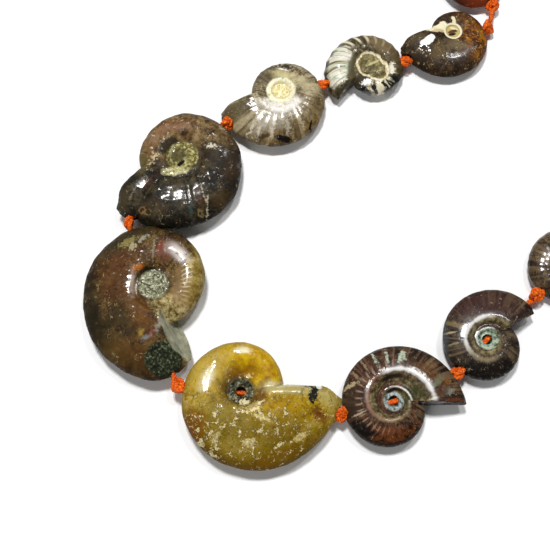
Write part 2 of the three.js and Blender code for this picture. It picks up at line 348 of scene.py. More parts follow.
def shape_coil(piece, coil, section, arc):
    """Gives the coil its turn and lip, its crest and ribs, and its set-over navel."""
    places = corners(piece)
    copies = np.arange(len(places)) // (len(section) * (SLICE_STEPS + 1))
    ring = np.empty(len(places), np.int32)
    piece.data.attributes["ring"].data.foreach_get("value", ring)
    within = np.arctan2(places[:, 1], places[:, 0]) / TURN - copies * arc
    steps = np.clip(np.round((within - np.round(within)) / arc * SLICE_STEPS), 0, SLICE_STEPS)
    rib_turns = (copies + steps / SLICE_STEPS) * arc
    share, height = section[ring].T
    out = share - SWEEP_MIDDLE
    turns = rib_turns - coil["sweep"] * out * np.abs(out) * 4
    radius = coil["growth"] ** -turns
    near_lip = np.maximum(0, 1 - np.maximum(turns, 0) / LIP_ARC)
    radius = radius * (1 - coil["lip"] * near_lip**2 * ease(share, 0.3, 0.9))
    slope = np.gradient(section, axis=0)[ring]
    # The section runs keel, upper face, seam, lower face, so its outward side is on its left.
    outward = np.column_stack([slope[:, 1], -slope[:, 0]])
    outward /= np.linalg.norm(outward, axis=1)[:, None] + 1e-9
    rib = coil["rib"] * (0.5 - 0.5 * np.cos(TURN * rib_turns / arc)) ** 1.5
    rib = rib * ease(share, coil["rib_from"], coil["rib_from"] + 0.25)
    for spot, depth, width in coil["grooves"]:
        rib = rib - depth * np.exp(-(((turns - spot) / width) ** 2)) * ease(share, 0.3, 0.6)
    rib = rib * radius**0.8
    crests = np.array(coil.get("crests", ((0, coil["crest"]),)), float)
    crest = np.interp(rib_turns % 1, *crests.T)
    seam = coil["seam"]
    across = np.clip((share - seam) / (1 - seam), 1e-6, 1)
    power = np.log((crest - seam) / (1 - seam)) / math.log((coil["crest"] - seam) / (1 - seam))
    share = np.where(share > seam, seam + across**power * (1 - seam), share)
    blunt, sink, worn_arc = coil["blunt"]
    worn = 1 - np.sqrt(1 - np.clip(1 - np.maximum(turns, 0) / worn_arc, 0, 1) ** 2)
    out_share = BLUNT_MIDDLE + (share - BLUNT_MIDDLE) * (1 - blunt * worn)
    out_radius = coil["reach"] * radius * out_share + outward[:, 0] * rib
    out_height = coil["thick"] / 2 * radius**0.5 * height * (1 - sink * worn) + outward[:, 1] * rib
    leaning = turns + coil["slant"] * (0.5 + 0.5 * height) * near_lip
    leaning = leaning + near_lip * (coil["lean"] * (share - SWEEP_MIDDLE)
                                    + coil["droop"] * ease(share, 0.8, 1))
    heading = math.radians(coil["mouth"]) + coil["turn"] * leaning * TURN
    out_radius = out_radius * (1 - coil["oval"] * np.cos(2 * heading))
    shaped = np.column_stack([out_radius * np.cos(heading), out_radius * np.sin(heading),
                              out_height])
    over_by = np.array([*coil.get("navel", (0, 0)), 0.0])
    fades = (share_of_reach * coil["reach"] for share_of_reach in NAVEL_REACH)
    pull = 1 - ease(np.hypot(shaped[:, 0], shaped[:, 1]), *fades)
    move_corners(piece, (shaped + pull[:, None] * over_by) * MM)


def navel_floor(coil):
    """Stone that still fills the bottom of the navel, as a flat lens."""
    radius, height = coil["floor"]
    bpy.ops.object.select_all(action="DESELECT")
    x, y = coil.get("navel", (0, 0))
    bpy.ops.mesh.primitive_uv_sphere_add(segments=32, ring_count=16, radius=radius * MM,
                                         location=(x * MM, y * MM, 0))
    lens = start("navel_floor")
    edit(lens)
    squash = coil["thick"] / 2 * height / radius
    bpy.ops.transform.resize(value=(1, 1, squash), center_override=(x * MM, y * MM, 0))
    leave_edit()
    settle(lens)
    return lens


def ripple(piece, name, size, strength):
    """A natural unevenness, as wide as size and as deep as strength."""
    texture = bpy.data.textures.new(name, "CLOUDS")
    texture.noise_scale = size * MM
    modify(piece, "DISPLACE", texture=texture, strength=strength * MM, mid_level=0.5,
           texture_coords="LOCAL")


def bore(piece, coil, settings):
    """Drills the hole from knot to knot, files a seat for both knots and opens a pierced navel."""
    way = route(coil["run"])
    cutters = []
    for low, high in zip(way, way[1:]):
        cutters.append(rod(low, high, settings.hole_width / 2))
    for end in (way[0], way[-1]):
        width = settings.seat_width * knot_scale(POINTS.index(end))
        bpy.ops.mesh.primitive_uv_sphere_add(segments=28, ring_count=16, location=end * MM,
                                             radius=width / 2)
        cutters.append(start("knot_seat"))
    if "pierced" in coil:
        middle = Vector((*coil["pierced"], coil["thick"] / 2))
        reach = Vector((0, 0, coil["thick"]))
        cutters.append(rod(middle - reach, middle + reach, PIERCED_RADIUS * MM))
    for cutter in cutters:
        modify(piece, "BOOLEAN", operation="DIFFERENCE", solver="MANIFOLD", object=cutter)
        bpy.data.objects.remove(cutter)


def rod(low, high, radius):
    """A round cutter between two points given in millimetres."""
    way = high - low
    turned = way.to_track_quat("Z", "Y").to_euler()
    bpy.ops.object.select_all(action="DESELECT")
    bpy.ops.mesh.primitive_cylinder_add(vertices=20, radius=radius, depth=way.length * MM,
                                        location=(low + high) / 2 * MM, rotation=turned)
    return start("drill")


def ammonite(name, coil, settings):
    """One polished shell, closed and drilled, in its place on the cord."""
    half = crested_section if coil["ridged"] else domed_section
    face = through(half(coil["seam"], coil["crest"]), SECTION_POINTS)
    section = np.vstack([face, (face * (1, -1))[:0:-1]])
    arc = 1 / coil["ribs"]
    piece = whorl_slice(name, coil, section, arc)
    coil_up(piece, coil, arc)
    shape_coil(piece, coil, section, arc)
    edit(piece)
    bpy.ops.mesh.remove_doubles(threshold=WELD)
    bpy.ops.mesh.fill_holes(sides=0)
    bpy.ops.mesh.normals_make_consistent(inside=False)
    leave_edit()
    if "floor" in coil:
        lens = navel_floor(coil)
        pick(piece)
        lens.select_set(True)
        bpy.ops.object.join()
    modify(piece, "REMESH", mode="VOXEL", voxel_size=coil.get("grain", settings.grain / MM) * MM,
           use_smooth_shade=True)
    modify(piece, "SMOOTH", factor=0.5, iterations=3)
    ripple(piece, name + "_swell", SWELL_SIZE, coil["swell"])
    ripple(piece, name + "_pits", PIT_SIZE, PIT_DEPTH)
    places = corners(piece)
    flat = coil["thick"] / 2 * MM
    places[:, 2] = np.clip(places[:, 2], -flat, flat)
    move_corners(piece, places + np.array([*coil["centre"], coil["thick"] / 2]) * MM)
    bore(piece, coil, settings)
    pick(piece)
    bpy.ops.object.shade_smooth_by_angle(angle=math.radians(SHELL_CORNER))
    return piece


def finish_piece(piece, node, material):
    """Gives a piece its stone or cord, and lets it stand for its CAD node."""
    piece.data.materials.clear()
    piece.data.materials.append(material)
    ring = piece.data.attributes.get("ring")
    if ring:
        piece.data.attributes.remove(ring)
    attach(piece, "root")
    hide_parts(node)


# --- Cord --------------------------------------------------------------------------------------

KNOT_CLEAR = 3.4  # from a knot's middle, where the cord is straight again
KNOT_HEART = 2.6  # from its middle, where the cord is pulled tight
KNOT_BEND = 0.8  # radius over which the knot bends to the cord either side
KNOT_SQUEEZE = 0.95  # the cord is drawn thinner where it is knotted tight
KNOT_ROLLS = (0.5, 2.2, 3.9, 0.9, 5.2, 1.5, 2.8)  # how far each knot is rolled about the cord
LOBES = 4  # plies in the cord's section
LOBE_POINTS = 5
TAILS = (((0.9, 0.9), 0.8), ((0.2, 1.25), 1.1))  # the way each cut end points, and its droop
TAIL_PLACES = (1.2, 2.2, 3.2, 4.3, 5.2, 5.9)  # of its key points, from the knot's middle
TAIL_DROPS = (0, 0, 0.1, 0.45, 0.9, 1.3)
TAIL_WIDTHS = (1, 1, 1, 1, 1, 1.12)  # a cut end is fused, and a little thicker
CORD_STEP = 0.42
TAIL_STEP = 0.35


def knot_line():
    """An overhand knot's own middle line: along the cord, to its side and above it."""
    line = [(-KNOT_CLEAR, 0.0, 0.0), (-2.7, 0.02, 0.05), (-2.1, 0.35, 0.2), (-1.45, 1.0, 0.36),
            (-0.5, 1.2, 0.5)]
    for phi in np.linspace(0.36, TURN - 0.36, 26):
        around = 1.0 + 0.48 * math.cos(3 * phi)
        line.append((around * math.sin(2 * phi), around * math.cos(2 * phi) - 0.45,
                     0.62 * math.sin(3 * phi)))
    line += [(-a, b, -c) for a, b, c in reversed(line[:5])]
    return np.array(line)


def knot_at(index, before, after, roll, scale):
    """The knot's line where it is tied, bent to the directions of the cord either side."""
    spot = np.array(POINTS[index])
    along = (before + after) / np.linalg.norm(before + after)
    side = np.cross((0, 0, 1), along)
    side /= np.linalg.norm(side)
    above = np.cross(along, side)
    c, s = math.cos(roll), math.sin(roll)
    across, up = c * side + s * above, c * above - s * side
    a, b, h = (knot_line() * scale).T[:, :, None]
    bend = np.sqrt(a * a + KNOT_BEND**2) - KNOT_BEND
    return spot + (a - bend) / 2 * before + (a + bend) / 2 * after + b * across + h * up


def cord_line():
    """The whole loop's middle line with its knots, and how thick it is at each point."""
    line, widths = [], []
    for index in range(len(POINTS)):
        into = route(index - 1 if index else len(POINTS) - 1)
        away = route(index)
        before = np.array((into[-1] - into[-2]).normalized())
        after = np.array((away[1] - away[0]).normalized())
        scale = knot_scale(index)
        tied = knot_at(index, before, after, KNOT_ROLLS[index % len(KNOT_ROLLS)], scale)
        line += list(tied)
        inside = np.linalg.norm(tied - np.array(POINTS[index]), axis=1) < KNOT_HEART * scale
        widths += [KNOT_SQUEEZE if near else 1.0 for near in inside]
        for middle in away[1:-1]:
            line.append(np.array(middle))
            widths.append(1.0)
    return np.array(line), np.array(widths)


def even_line(keys, widths, closed, step):
    """Points at about even steps along a smooth line through the keys, with their widths."""
    if closed:
        padded = np.vstack([keys[-1:], keys, keys[:2]])
        wide = np.concatenate([widths[-1:], widths, widths[:2]])
    else:
        padded = np.vstack([2 * keys[0] - keys[1], keys, 2 * keys[-1] - keys[-2]])
        wide = np.concatenate([widths[:1], widths, widths[-1:]])
    line, width = [], []
    for k in range(len(padded) - 3):
        a, b, c, d = padded[k:k + 4]
        # Centripetal spacing keeps the long straight stretches straight.
        t = np.concatenate([[0], np.cumsum([max(np.linalg.norm(q - p), 1e-6) ** 0.5
                                            for p, q in ((a, b), (b, c), (c, d))])])
        count = max(1, round(np.linalg.norm(c - b) / step))
        for u in np.linspace(t[1], t[2], count, endpoint=False):
            ab, bc, cd = (p + (q - p) * (u - t[i]) / (t[i + 1] - t[i])
                          for i, (p, q) in enumerate(((a, b), (b, c), (c, d))))
            low = ab + (bc - ab) * (u - t[0]) / (t[2] - t[0])
            high = bc + (cd - bc) * (u - t[1]) / (t[3] - t[1])
            share = (u - t[1]) / (t[2] - t[1])
            line.append(low + (high - low) * share)
            width.append(wide[k + 1] + (wide[k + 2] - wide[k + 1]) * share)
    if not closed:
        line.append(keys[-1])
        width.append(widths[-1])
    return np.array(line), np.array(width)


def strand(curve, line, width, closed, pitch):
    """One spline of the cord, with the lay of its plies as tilt."""
    spline = curve.splines.new("POLY")
    spline.points.add(len(line) - 1)
    spline.use_cyclic_u = closed
    run = np.concatenate([[0], np.cumsum(np.linalg.norm(np.diff(line, axis=0), axis=1))])
    total = run[-1] + (np.linalg.norm(line[0] - line[-1]) if closed else 0)
    lays = round(total / pitch)
    for point, place, wide, walked in zip(spline.points, line, width, run):
        point.co = (*(place * MM), 1)
        point.radius = wide
        point.tilt = walked / total * lays * TURN


def ply_section(radius):
    """The cord's cross-section, a ring of plies side by side."""
    bpy.ops.object.select_all(action="DESELECT")
    bpy.ops.curve.primitive_bezier_circle_add(radius=radius)
    ring = bpy.context.object
    curve = ring.data
    curve.splines.clear()
    spline = curve.splines.new("POLY")
    spline.use_cyclic_u = True
    count = LOBES * LOBE_POINTS
    spline.points.add(count - 1)
    for k, point in enumerate(spline.points):
        angle = k / count * TURN
        reach = radius * (0.8 + 0.2 * abs(math.cos(LOBES / 2 * angle)) ** 0.6)
        point.co = (reach * math.cos(angle), reach * math.sin(angle), 0, 1)
    return ring


def tail_line(way, droop):
    """A short cut end that leaves the closing knot and dips towards the surface."""
    spot = np.array(POINTS[TIE_KNOT])
    way = np.array((*way, 0.0)) / np.hypot(*way)
    places = np.array(TAIL_PLACES)
    drop = np.array(TAIL_DROPS) * droop
    return spot + places[:, None] * way - drop[:, None] * np.array((0, 0, 1.0))


def knotted_cord(settings):
    """The cord with a knot between every two fossils and the two cut ends of the closing knot."""
    section = ply_section(settings.thickness / 2)
    data = bpy.data.curves.new("cord", "CURVE")
    data.dimensions = "3D"
    data.bevel_mode = "OBJECT"
    data.bevel_object = section
    data.use_fill_caps = True
    data.twist_mode = "MINIMUM"
    piece = bpy.data.objects.new("knotted_cord", data)
    bpy.context.collection.objects.link(piece)
    keys, widths = cord_line()
    strand(data, *even_line(keys, widths, True, CORD_STEP), True, settings.pitch / MM)
    for way, droop in TAILS:
        tail = even_line(tail_line(way, droop), np.array(TAIL_WIDTHS), False, TAIL_STEP)
        strand(data, *tail, False, settings.pitch / MM)
    pick(piece)
    bpy.ops.object.convert(target="MESH")
    piece = bpy.context.object
    bpy.data.objects.remove(section)
    edit(piece)
    bpy.ops.mesh.remove_doubles(threshold=WELD)
    bpy.ops.mesh.normals_make_consistent(inside=False)
    leave_edit()
    bpy.ops.object.shade_smooth_by_angle(angle=math.radians(CORD_CORNER))
    return piece


# --- Finishes ----------------------------------------------------------------------------------

QUARTZ = (255, 255, 252)
GLOW_LINES = 48  # growth lines to a turn that comb a painted crest highlight
BARE_SHINE = 0.14  # specular level of the stone beneath its polish
POLISH_ROUGHNESS = 0.17
MATT_ROUGHNESS = 0.25  # how much rougher the stone is where it isn't polished
MATT_LOSS = 0.29  # how surely the polish is gone there, against the noise that breaks it up
LEFT_POLISH = (0.3, 0.35)  # the noise below which the polish is lost, and above which it is whole
SATURATION = 1.04  # how much the polish deepens the stone's colour
SMALL_PATCH = 1.8  # a patch narrower than this has a finer ragged edge


def paint(red, green, blue):
    """A colour in display numbers from 0 to 255, as the shader's linear one."""
    def linear(value):
        value /= 255
        return value / 12.92 if value <= 0.04045 else ((value + 0.055) / 1.055) ** 2.4
    return (linear(red), linear(green), linear(blue), 1.0)


class Finish:
    """A material's nodes, wired as they are used. Lengths are millimetres about a middle point."""

    def __init__(self, name, middle):
        self.material = bpy.data.materials.new(name)
        self.material.use_nodes = True
        self.nodes = self.material.node_tree.nodes
        self.links = self.material.node_tree.links
        self.nodes.clear()
        self.seed = 0.0
        self.shaken, self.looks = {}, None
        self.place = self.add("Mapping").outputs[0]
        mapping = self.place.node
        self.links.new(self.add("TexCoord").outputs["Object"], mapping.inputs["Vector"])
        mapping.inputs["Location"].default_value = [-k for k in middle]
        mapping.inputs["Scale"].default_value = (1 / MM,) * 3

    def add(self, kind, **settings):
        node = self.nodes.new("ShaderNode" + kind)
        for key, value in settings.items():
            setattr(node, key, value)
        return node

    def feed(self, socket, value):
        if isinstance(value, bpy.types.NodeSocket):
            self.links.new(value, socket)
        else:
            socket.default_value = value

    def math(self, operation, *values):
        node = self.add("Math", operation=operation)
        for socket, value in zip(node.inputs, values):
            self.feed(socket, value)
        return node.outputs[0]

    def vector(self, operation, *values, output="Vector"):
        node = self.add("VectorMath", operation=operation)
        for socket, value in zip(node.inputs, values):
            self.feed(socket, value)
        return node.outputs[output]

    def scaled(self, vector, factor):
        node = self.add("VectorMath", operation="SCALE")
        self.feed(node.inputs[0], vector)
        self.feed(node.inputs["Scale"], factor)
        return node.outputs[0]

    def rise(self, value, low, high):
        """0 at low, 1 at high, and smooth between. low may be above high."""
        node = self.add("MapRange", interpolation_type="SMOOTHSTEP")
        self.feed(node.inputs["Value"], value)
        node.inputs["From Min"].default_value = low
        node.inputs["From Max"].default_value = high
        return node.outputs[0]

    def mix(self, factor, below, above):
        """Lays one colour over another where factor is 1."""
        node = self.add("Mix", data_type="RGBA")
        self.feed(node.inputs[0], factor)
        self.feed(node.inputs[6], below)
        self.feed(node.inputs[7], above)
        return node.outputs[2]

    def lay(self, color, tint, strength, *masks):
        """Lays a tint over the colour so far, at its strength where all the masks are 1."""
        return self.mix(self.times(*masks, strength), color, tint)

    def outside(self, mask):
        return self.math("SUBTRACT", 1.0, mask)

    def noise(self, size, detail=3.0, roughness=0.55, vector=None, distortion=0.0):
        """Cloudy noise with features about size across, never the same twice in one finish."""
        self.seed += 7.3
        node = self.add("TexNoise", noise_dimensions="4D")
        self.feed(node.inputs["Vector"], vector or self.place)
        node.inputs["W"].default_value = self.seed
        node.inputs["Scale"].default_value = 1 / size
        node.inputs["Detail"].default_value = detail
        node.inputs["Roughness"].default_value = roughness
        node.inputs["Distortion"].default_value = distortion
        return node.outputs["Fac"]

    def cells(self, size):
        """How far each place is from the middle of its cell."""
        self.seed += 3.1
        node = self.add("TexVoronoi", voronoi_dimensions="4D")
        self.feed(node.inputs["Vector"], self.place)
        node.inputs["W"].default_value = self.seed
        node.inputs["Scale"].default_value = 1 / size
        return node.outputs["Distance"]

    def ramp(self, value, *stops):
        node = self.add("ValToRGB")
        self.feed(node.inputs[0], value)
        bar = node.color_ramp
        bar.elements[0].position, bar.elements[0].color = stops[0]
        bar.elements[1].position, bar.elements[1].color = stops[-1]
        for position, color in stops[1:-1]:
            bar.elements.new(position).color = color
        return node.outputs[0]

    def patch(self, at, size, turn, soft, ragged=0.0):
        """1 inside an oval patch of half widths size, turned by turn degrees, and 0 outside it."""
        node = self.add("Mapping", vector_type="TEXTURE")
        self.feed(node.inputs["Vector"], self.place)
        node.inputs["Location"].default_value = (*at, 0)
        node.inputs["Rotation"].default_value = (0, 0, math.radians(turn))
        node.inputs["Scale"].default_value = (*size, 1000)
        far = self.vector("LENGTH", node.outputs[0], output="Value")
        if ragged:
            across = math.sqrt(size[0] * size[1])
            shake = self.shake(across < SMALL_PATCH)
            far = self.math("MULTIPLY_ADD", shake, 8 * ragged / across, far)
        return self.rise(far, 1 + soft, 1 - soft)

    def shake(self, fine=False):
        """Noise about zero that ragged edges share, coarse for wide patches and fine for small."""
        if fine not in self.shaken:
            noise = self.noise(0.8, 4, 0.7) if fine else self.noise(1.9, 6, 0.72)
            self.shaken[fine] = self.math("SUBTRACT", noise, 0.5)
        return self.shaken[fine]

    def facing(self, heading, low, high):
        """1 on faces that look towards a level heading in degrees, and 0 on those that don't."""
        if self.looks is None:
            self.looks = self.add("TexCoord").outputs["Normal"]
        way = (math.cos(math.radians(heading)), math.sin(math.radians(heading)), 0)
        return self.rise(self.vector("DOT_PRODUCT", self.looks, way, output="Value"), low, high)

    def times(self, *values):
        product = values[0]
        for value in values[1:]:
            product = self.math("MULTIPLY", product, value)
        return product

    def bump(self, height, depth, below=None):
        """Relief depth millimetres deep for a height of 0 to 1."""
        node = self.add("Bump")
        self.feed(node.inputs["Height"], height)
        node.inputs["Strength"].default_value = 1.0
        node.inputs["Distance"].default_value = depth * MM
        if below:
            self.feed(node.inputs["Normal"], below)
        return node.outputs[0]

    def surface(self, **sockets):
        shader = self.add("BsdfPrincipled")
        for key, value in sockets.items():
            self.feed(shader.inputs[key.replace("_", " ")], value)
        output = self.add("OutputMaterial")
        self.links.new(shader.outputs[0], output.inputs["Surface"])
        return self.material


class Stone(Finish):
    """Polished fossil shell, with coordinates that follow its coil."""

    def __init__(self, name, coil):
        middle = (*coil["centre"], coil["thick"] / 2)
        super().__init__(name, middle)
        plan = self.vector("MULTIPLY", self.place, (1, 1, 0))
        if "navel" in coil:
            far = self.vector("LENGTH", plan, output="Value")
            inner, outer = (share * coil["reach"] for share in NAVEL_REACH)
            pull = self.rise(far, outer, inner)
            plan = self.vector("SUBTRACT", plan, self.scaled((*coil["navel"], 0), pull))
        split = self.add("SeparateXYZ")
        self.feed(split.inputs[0], plan)
        self.radius = self.vector("LENGTH", plan, output="Value")
        angle = self.math("ARCTAN2", split.outputs[1], split.outputs[0])
        offset = -coil["turn"] * math.radians(coil["mouth"]) / TURN
        phase = self.math("FRACT", self.math("MULTIPLY_ADD", angle, coil["turn"] / TURN, offset))
        falls = self.math("LOGARITHM", self.math("DIVIDE", coil["reach"], self.radius),
                          coil["growth"])
        seam_falls = math.log(1 / coil["seam"], coil["growth"]) - 1
        inner = self.math("SUBTRACT", self.math("SUBTRACT", falls, phase), seam_falls)
        whorl = self.math("MAXIMUM", self.math("FLOOR", inner), 0.0)
        self.turns = self.math("ADD", phase, whorl)
        grown = self.math("POWER", coil["growth"], self.turns)
        self.share = self.math("MULTIPLY", self.math("DIVIDE", self.radius, coil["reach"]), grown)
        off = self.math("SUBTRACT", self.share, SWEEP_MIDDLE)
        swept = self.times(off, self.math("ABSOLUTE", off), coil["sweep"] * 4)
        self.rib_turns = self.math("ADD", self.turns, swept)
        crests = coil.get("crests", ((0, coil["crest"]), (1, coil["crest"])))
        self.crest = self.ramp(phase, *((turns, (share,) * 3 + (1.0,)) for turns, share in crests))

    def ribs(self, count, width, jitter):
        """Pale or dark spokes across the whorl, count to a turn."""
        shake = self.times(self.math("SUBTRACT", self.noise(3.0, 2), 0.5), jitter / count)
        wave = self.math("SINE", self.math("MULTIPLY_ADD", self.math("ADD", self.rib_turns, shake),
                                           count * TURN, -TURN / 4))
        return self.rise(wave, 1 - 2 * width, 1.0)

    def growth_lines(self, fineness, across, detail=3):
        """Noise drawn out across the whorl, as fine growth lines are."""
        node = self.add("CombineXYZ")
        self.feed(node.inputs[0], self.math("MULTIPLY", self.rib_turns, fineness))
        self.feed(node.inputs[1], self.math("MULTIPLY", self.share, across))
        return self.noise(1.0, detail, 0.6, vector=node.outputs[0])

    def band(self, low, high, soft):
        """1 where the whorl's share of radius is between low and high."""
        return self.times(self.rise(self.share, low - soft, low + soft),
                          self.rise(self.share, high + soft, high - soft))

    def disc(self, radius, soft, ragged):
        """1 within a radius of the navel's middle."""
        far = self.math("MULTIPLY_ADD", self.shake(), ragged * 5, self.radius)
        return self.rise(far, radius * (1 + soft), radius * (1 - soft))


def stone_base(name, coil, tints, size, spread=0.15, lines=60, drawn=0.35):
    """Mottled stone in three tints: the finish and its colour so far.

    size is how wide the mottling is, spread how soft its steps are, lines how many growth lines go
    to a turn, and drawn how strong they are.
    """
    stone = Stone(name, coil)
    blend = stone.noise(size, 5, 0.62, distortion=0.8)
    fine = stone.noise(size / 7, 4, 0.68)
    stone.lines = stone.growth_lines(lines, 1.4)
    for grain, share in ((fine, 0.7), (stone.lines, drawn)):
        blend = stone.math("MULTIPLY_ADD", stone.math("SUBTRACT", grain, 0.5), share, blend)
    color = stone.ramp(blend, (0.5 - spread, tints.deep), (0.5, tints.body),
                       (0.5 + spread, tints.pale))
    stone.heights = [(fine, 0.05)]
    stone.matt = None
    # Painted shade: the whorl darkens towards the keel, where its flank falls away from the light.
    keel = stone.rise(stone.share, 0.8, 1.02)
    return stone, stone.lay(color, tints.deep, 0.6, keel)


def roughen(stone, mask):
    """Marks unpolished stone, where the gloss is lost."""
    stone.matt = mask if stone.matt is None else stone.math("MAXIMUM", stone.matt, mask)


def gloss(stone, rest, *ovals):
    """Keeps a high polish in the ovals: place, size and turn. rest is how dull all else is."""
    shone = None
    for at, size, turn in ovals:
        oval = stone.patch(at, size, turn, 0.5, 0.5)
        shone = oval if shone is None else stone.math("MAXIMUM", shone, oval)
    roughen(stone, stone.math("MULTIPLY_ADD", shone, -rest, rest))


def blots(stone, color, *rows):
    """Lays ragged ovals over the stone: tint, strength, place, size, turn, softness, raggedness."""
    for tint, strength, at, size, turn, soft, ragged in rows:
        if isinstance(tint, tuple) and len(tint) == 3:
            tint = paint(*tint)
        color = stone.lay(color, tint, strength, stone.patch(at, size, turn, soft, ragged))
    return color


def grains(stone, size, *tints, detail=4, roughness=0.7, distortion=0.0):
    """Three or four tints, from dark to pale, as coarse grains."""
    stops = np.linspace(0.37, 0.63, len(tints))
    stops = [(place, paint(*tint)) for place, tint in zip(stops, tints)]
    return stone.ramp(stone.noise(size, detail, roughness, distortion=distortion), *stops)


def veins(stone, color, tint, size, width, strength, zone=None, broken=3.5, raised=0.0):
    """Hairline joints and scratches that wander through the stone, as long as broken."""
    wander = stone.noise(size, 3, 0.5, distortion=1.6)
    off = stone.math("ABSOLUTE", stone.math("SUBTRACT", wander, 0.5))
    mask = stone.times(stone.rise(off, width, width * 0.3),
                       stone.rise(stone.noise(broken, 2), 0.55, 0.63))
    if zone is not None:
        mask = stone.times(mask, zone)
    if raised:
        stone.heights.append((mask, raised))
    return stone.lay(color, tint, strength, mask)


def flecks(stone, color, tint, size, share, strength):
    """Scattered small bright grains."""
    grain = stone.rise(stone.noise(size, 3, 0.75), 0.97 - share, 1.0 - share)
    return stone.lay(color, tint, strength, grain)


def combed(stone, color, tint, lines, low, high, zone, strength):
    """Lays a tint along the growth lines, where their noise rises from low to high."""
    return stone.lay(color, tint, strength, stone.rise(lines, low, high), zone)


def shell_leaves(stone, color, size, level, zone, lit, shade):
    """Scraps of shell left on the stone, ragged as leaves, raised and dark along the edge."""
    scrap = stone.noise(size, 6, 0.76, distortion=0.4)
    scrap = stone.math("MULTIPLY_ADD", stone.math("SUBTRACT", zone, 1.0), 0.12, scrap)
    edge = stone.rise(scrap, level - 0.025, level - 0.008)
    leaf = stone.rise(scrap, level, level + 0.01)
    stone.heights.append((leaf, 0.14))
    color = stone.lay(color, shade, 0.7, edge)
    faded = stone.times(leaf, stone.rise(scrap, level + 0.12, level + 0.03))
    return stone.lay(color, lit, 0.95, faded)


def painted_crest_highlight(stone, color, tint, width, strength, zone, out):
    """A painted highlight: a pale band along the whorl's crest or further out, combed by the growth
    lines.
    """
    off = stone.math("SUBTRACT", stone.share, stone.math("ADD", stone.crest, out))
    comb = stone.math("SUBTRACT", stone.growth_lines(GLOW_LINES, 0.5, 4), 0.5)
    away = stone.math("MULTIPLY_ADD", comb, 2 * width, stone.math("ABSOLUTE", off))
    band = stone.rise(away, width * 1.6, width * 0.2)
    return stone.lay(color, tint, strength, band, zone)


def crystal_floor(stone, color, radius, *tints, ragged=0.6, grain=0.9, dull=0.8, curl=0.0):
    """The granular filling of the navel, with a dark line round it."""
    inside = stone.disc(radius, 0.1, ragged)
    rim = stone.times(stone.disc(radius * 1.16, 0.12, ragged * 1.5),
                      stone.outside(inside))
    color = stone.lay(color, paint(*tints[0]), 0.6, rim)
    color = stone.mix(inside, color, grains(stone, grain, *tints, roughness=0.75, distortion=curl))
    roughen(stone, stone.times(inside, dull))
    stone.heights.append((stone.times(inside, stone.noise(grain * 0.8, 4, 0.7)), 0.35))
    return color


def polished(stone, color, rough=0.36, waves=0.07, lines=0.014, pits=0.06, value=0.8, **sockets):
    """The finished stone: relief in the body, and a clear polish that deepens its colour.

    waves, lines and pits are how deep each goes in the polish, and value is how light it stays.
    """
    deepened = stone.add("HueSaturation")
    deepened.inputs["Saturation"].default_value = SATURATION
    deepened.inputs["Value"].default_value = value
    stone.feed(deepened.inputs["Color"], color)
    normal = None
    for height, depth in stone.heights:
        normal = stone.bump(height, depth, normal)
    left = stone.math("MULTIPLY_ADD", stone.matt, -MATT_LOSS, stone.noise(0.8, 4, 0.7))
    skin = stone.bump(stone.noise(3.2, 2, 0.5), waves)
    skin = stone.bump(stone.lines, lines, skin)
    skin = stone.bump(stone.rise(stone.noise(0.7, 3, 0.6), 0.68, 0.6), pits, skin)
    return stone.surface(
        Base_Color=deepened.outputs[0], Normal=normal, Coat_Normal=skin,
        Roughness=stone.math("MULTIPLY_ADD", stone.matt, MATT_ROUGHNESS, rough),
        Specular_IOR_Level=BARE_SHINE, Coat_Weight=stone.rise(left, *LEFT_POLISH),
        Coat_Roughness=POLISH_ROUGHNESS, **sockets,
    )


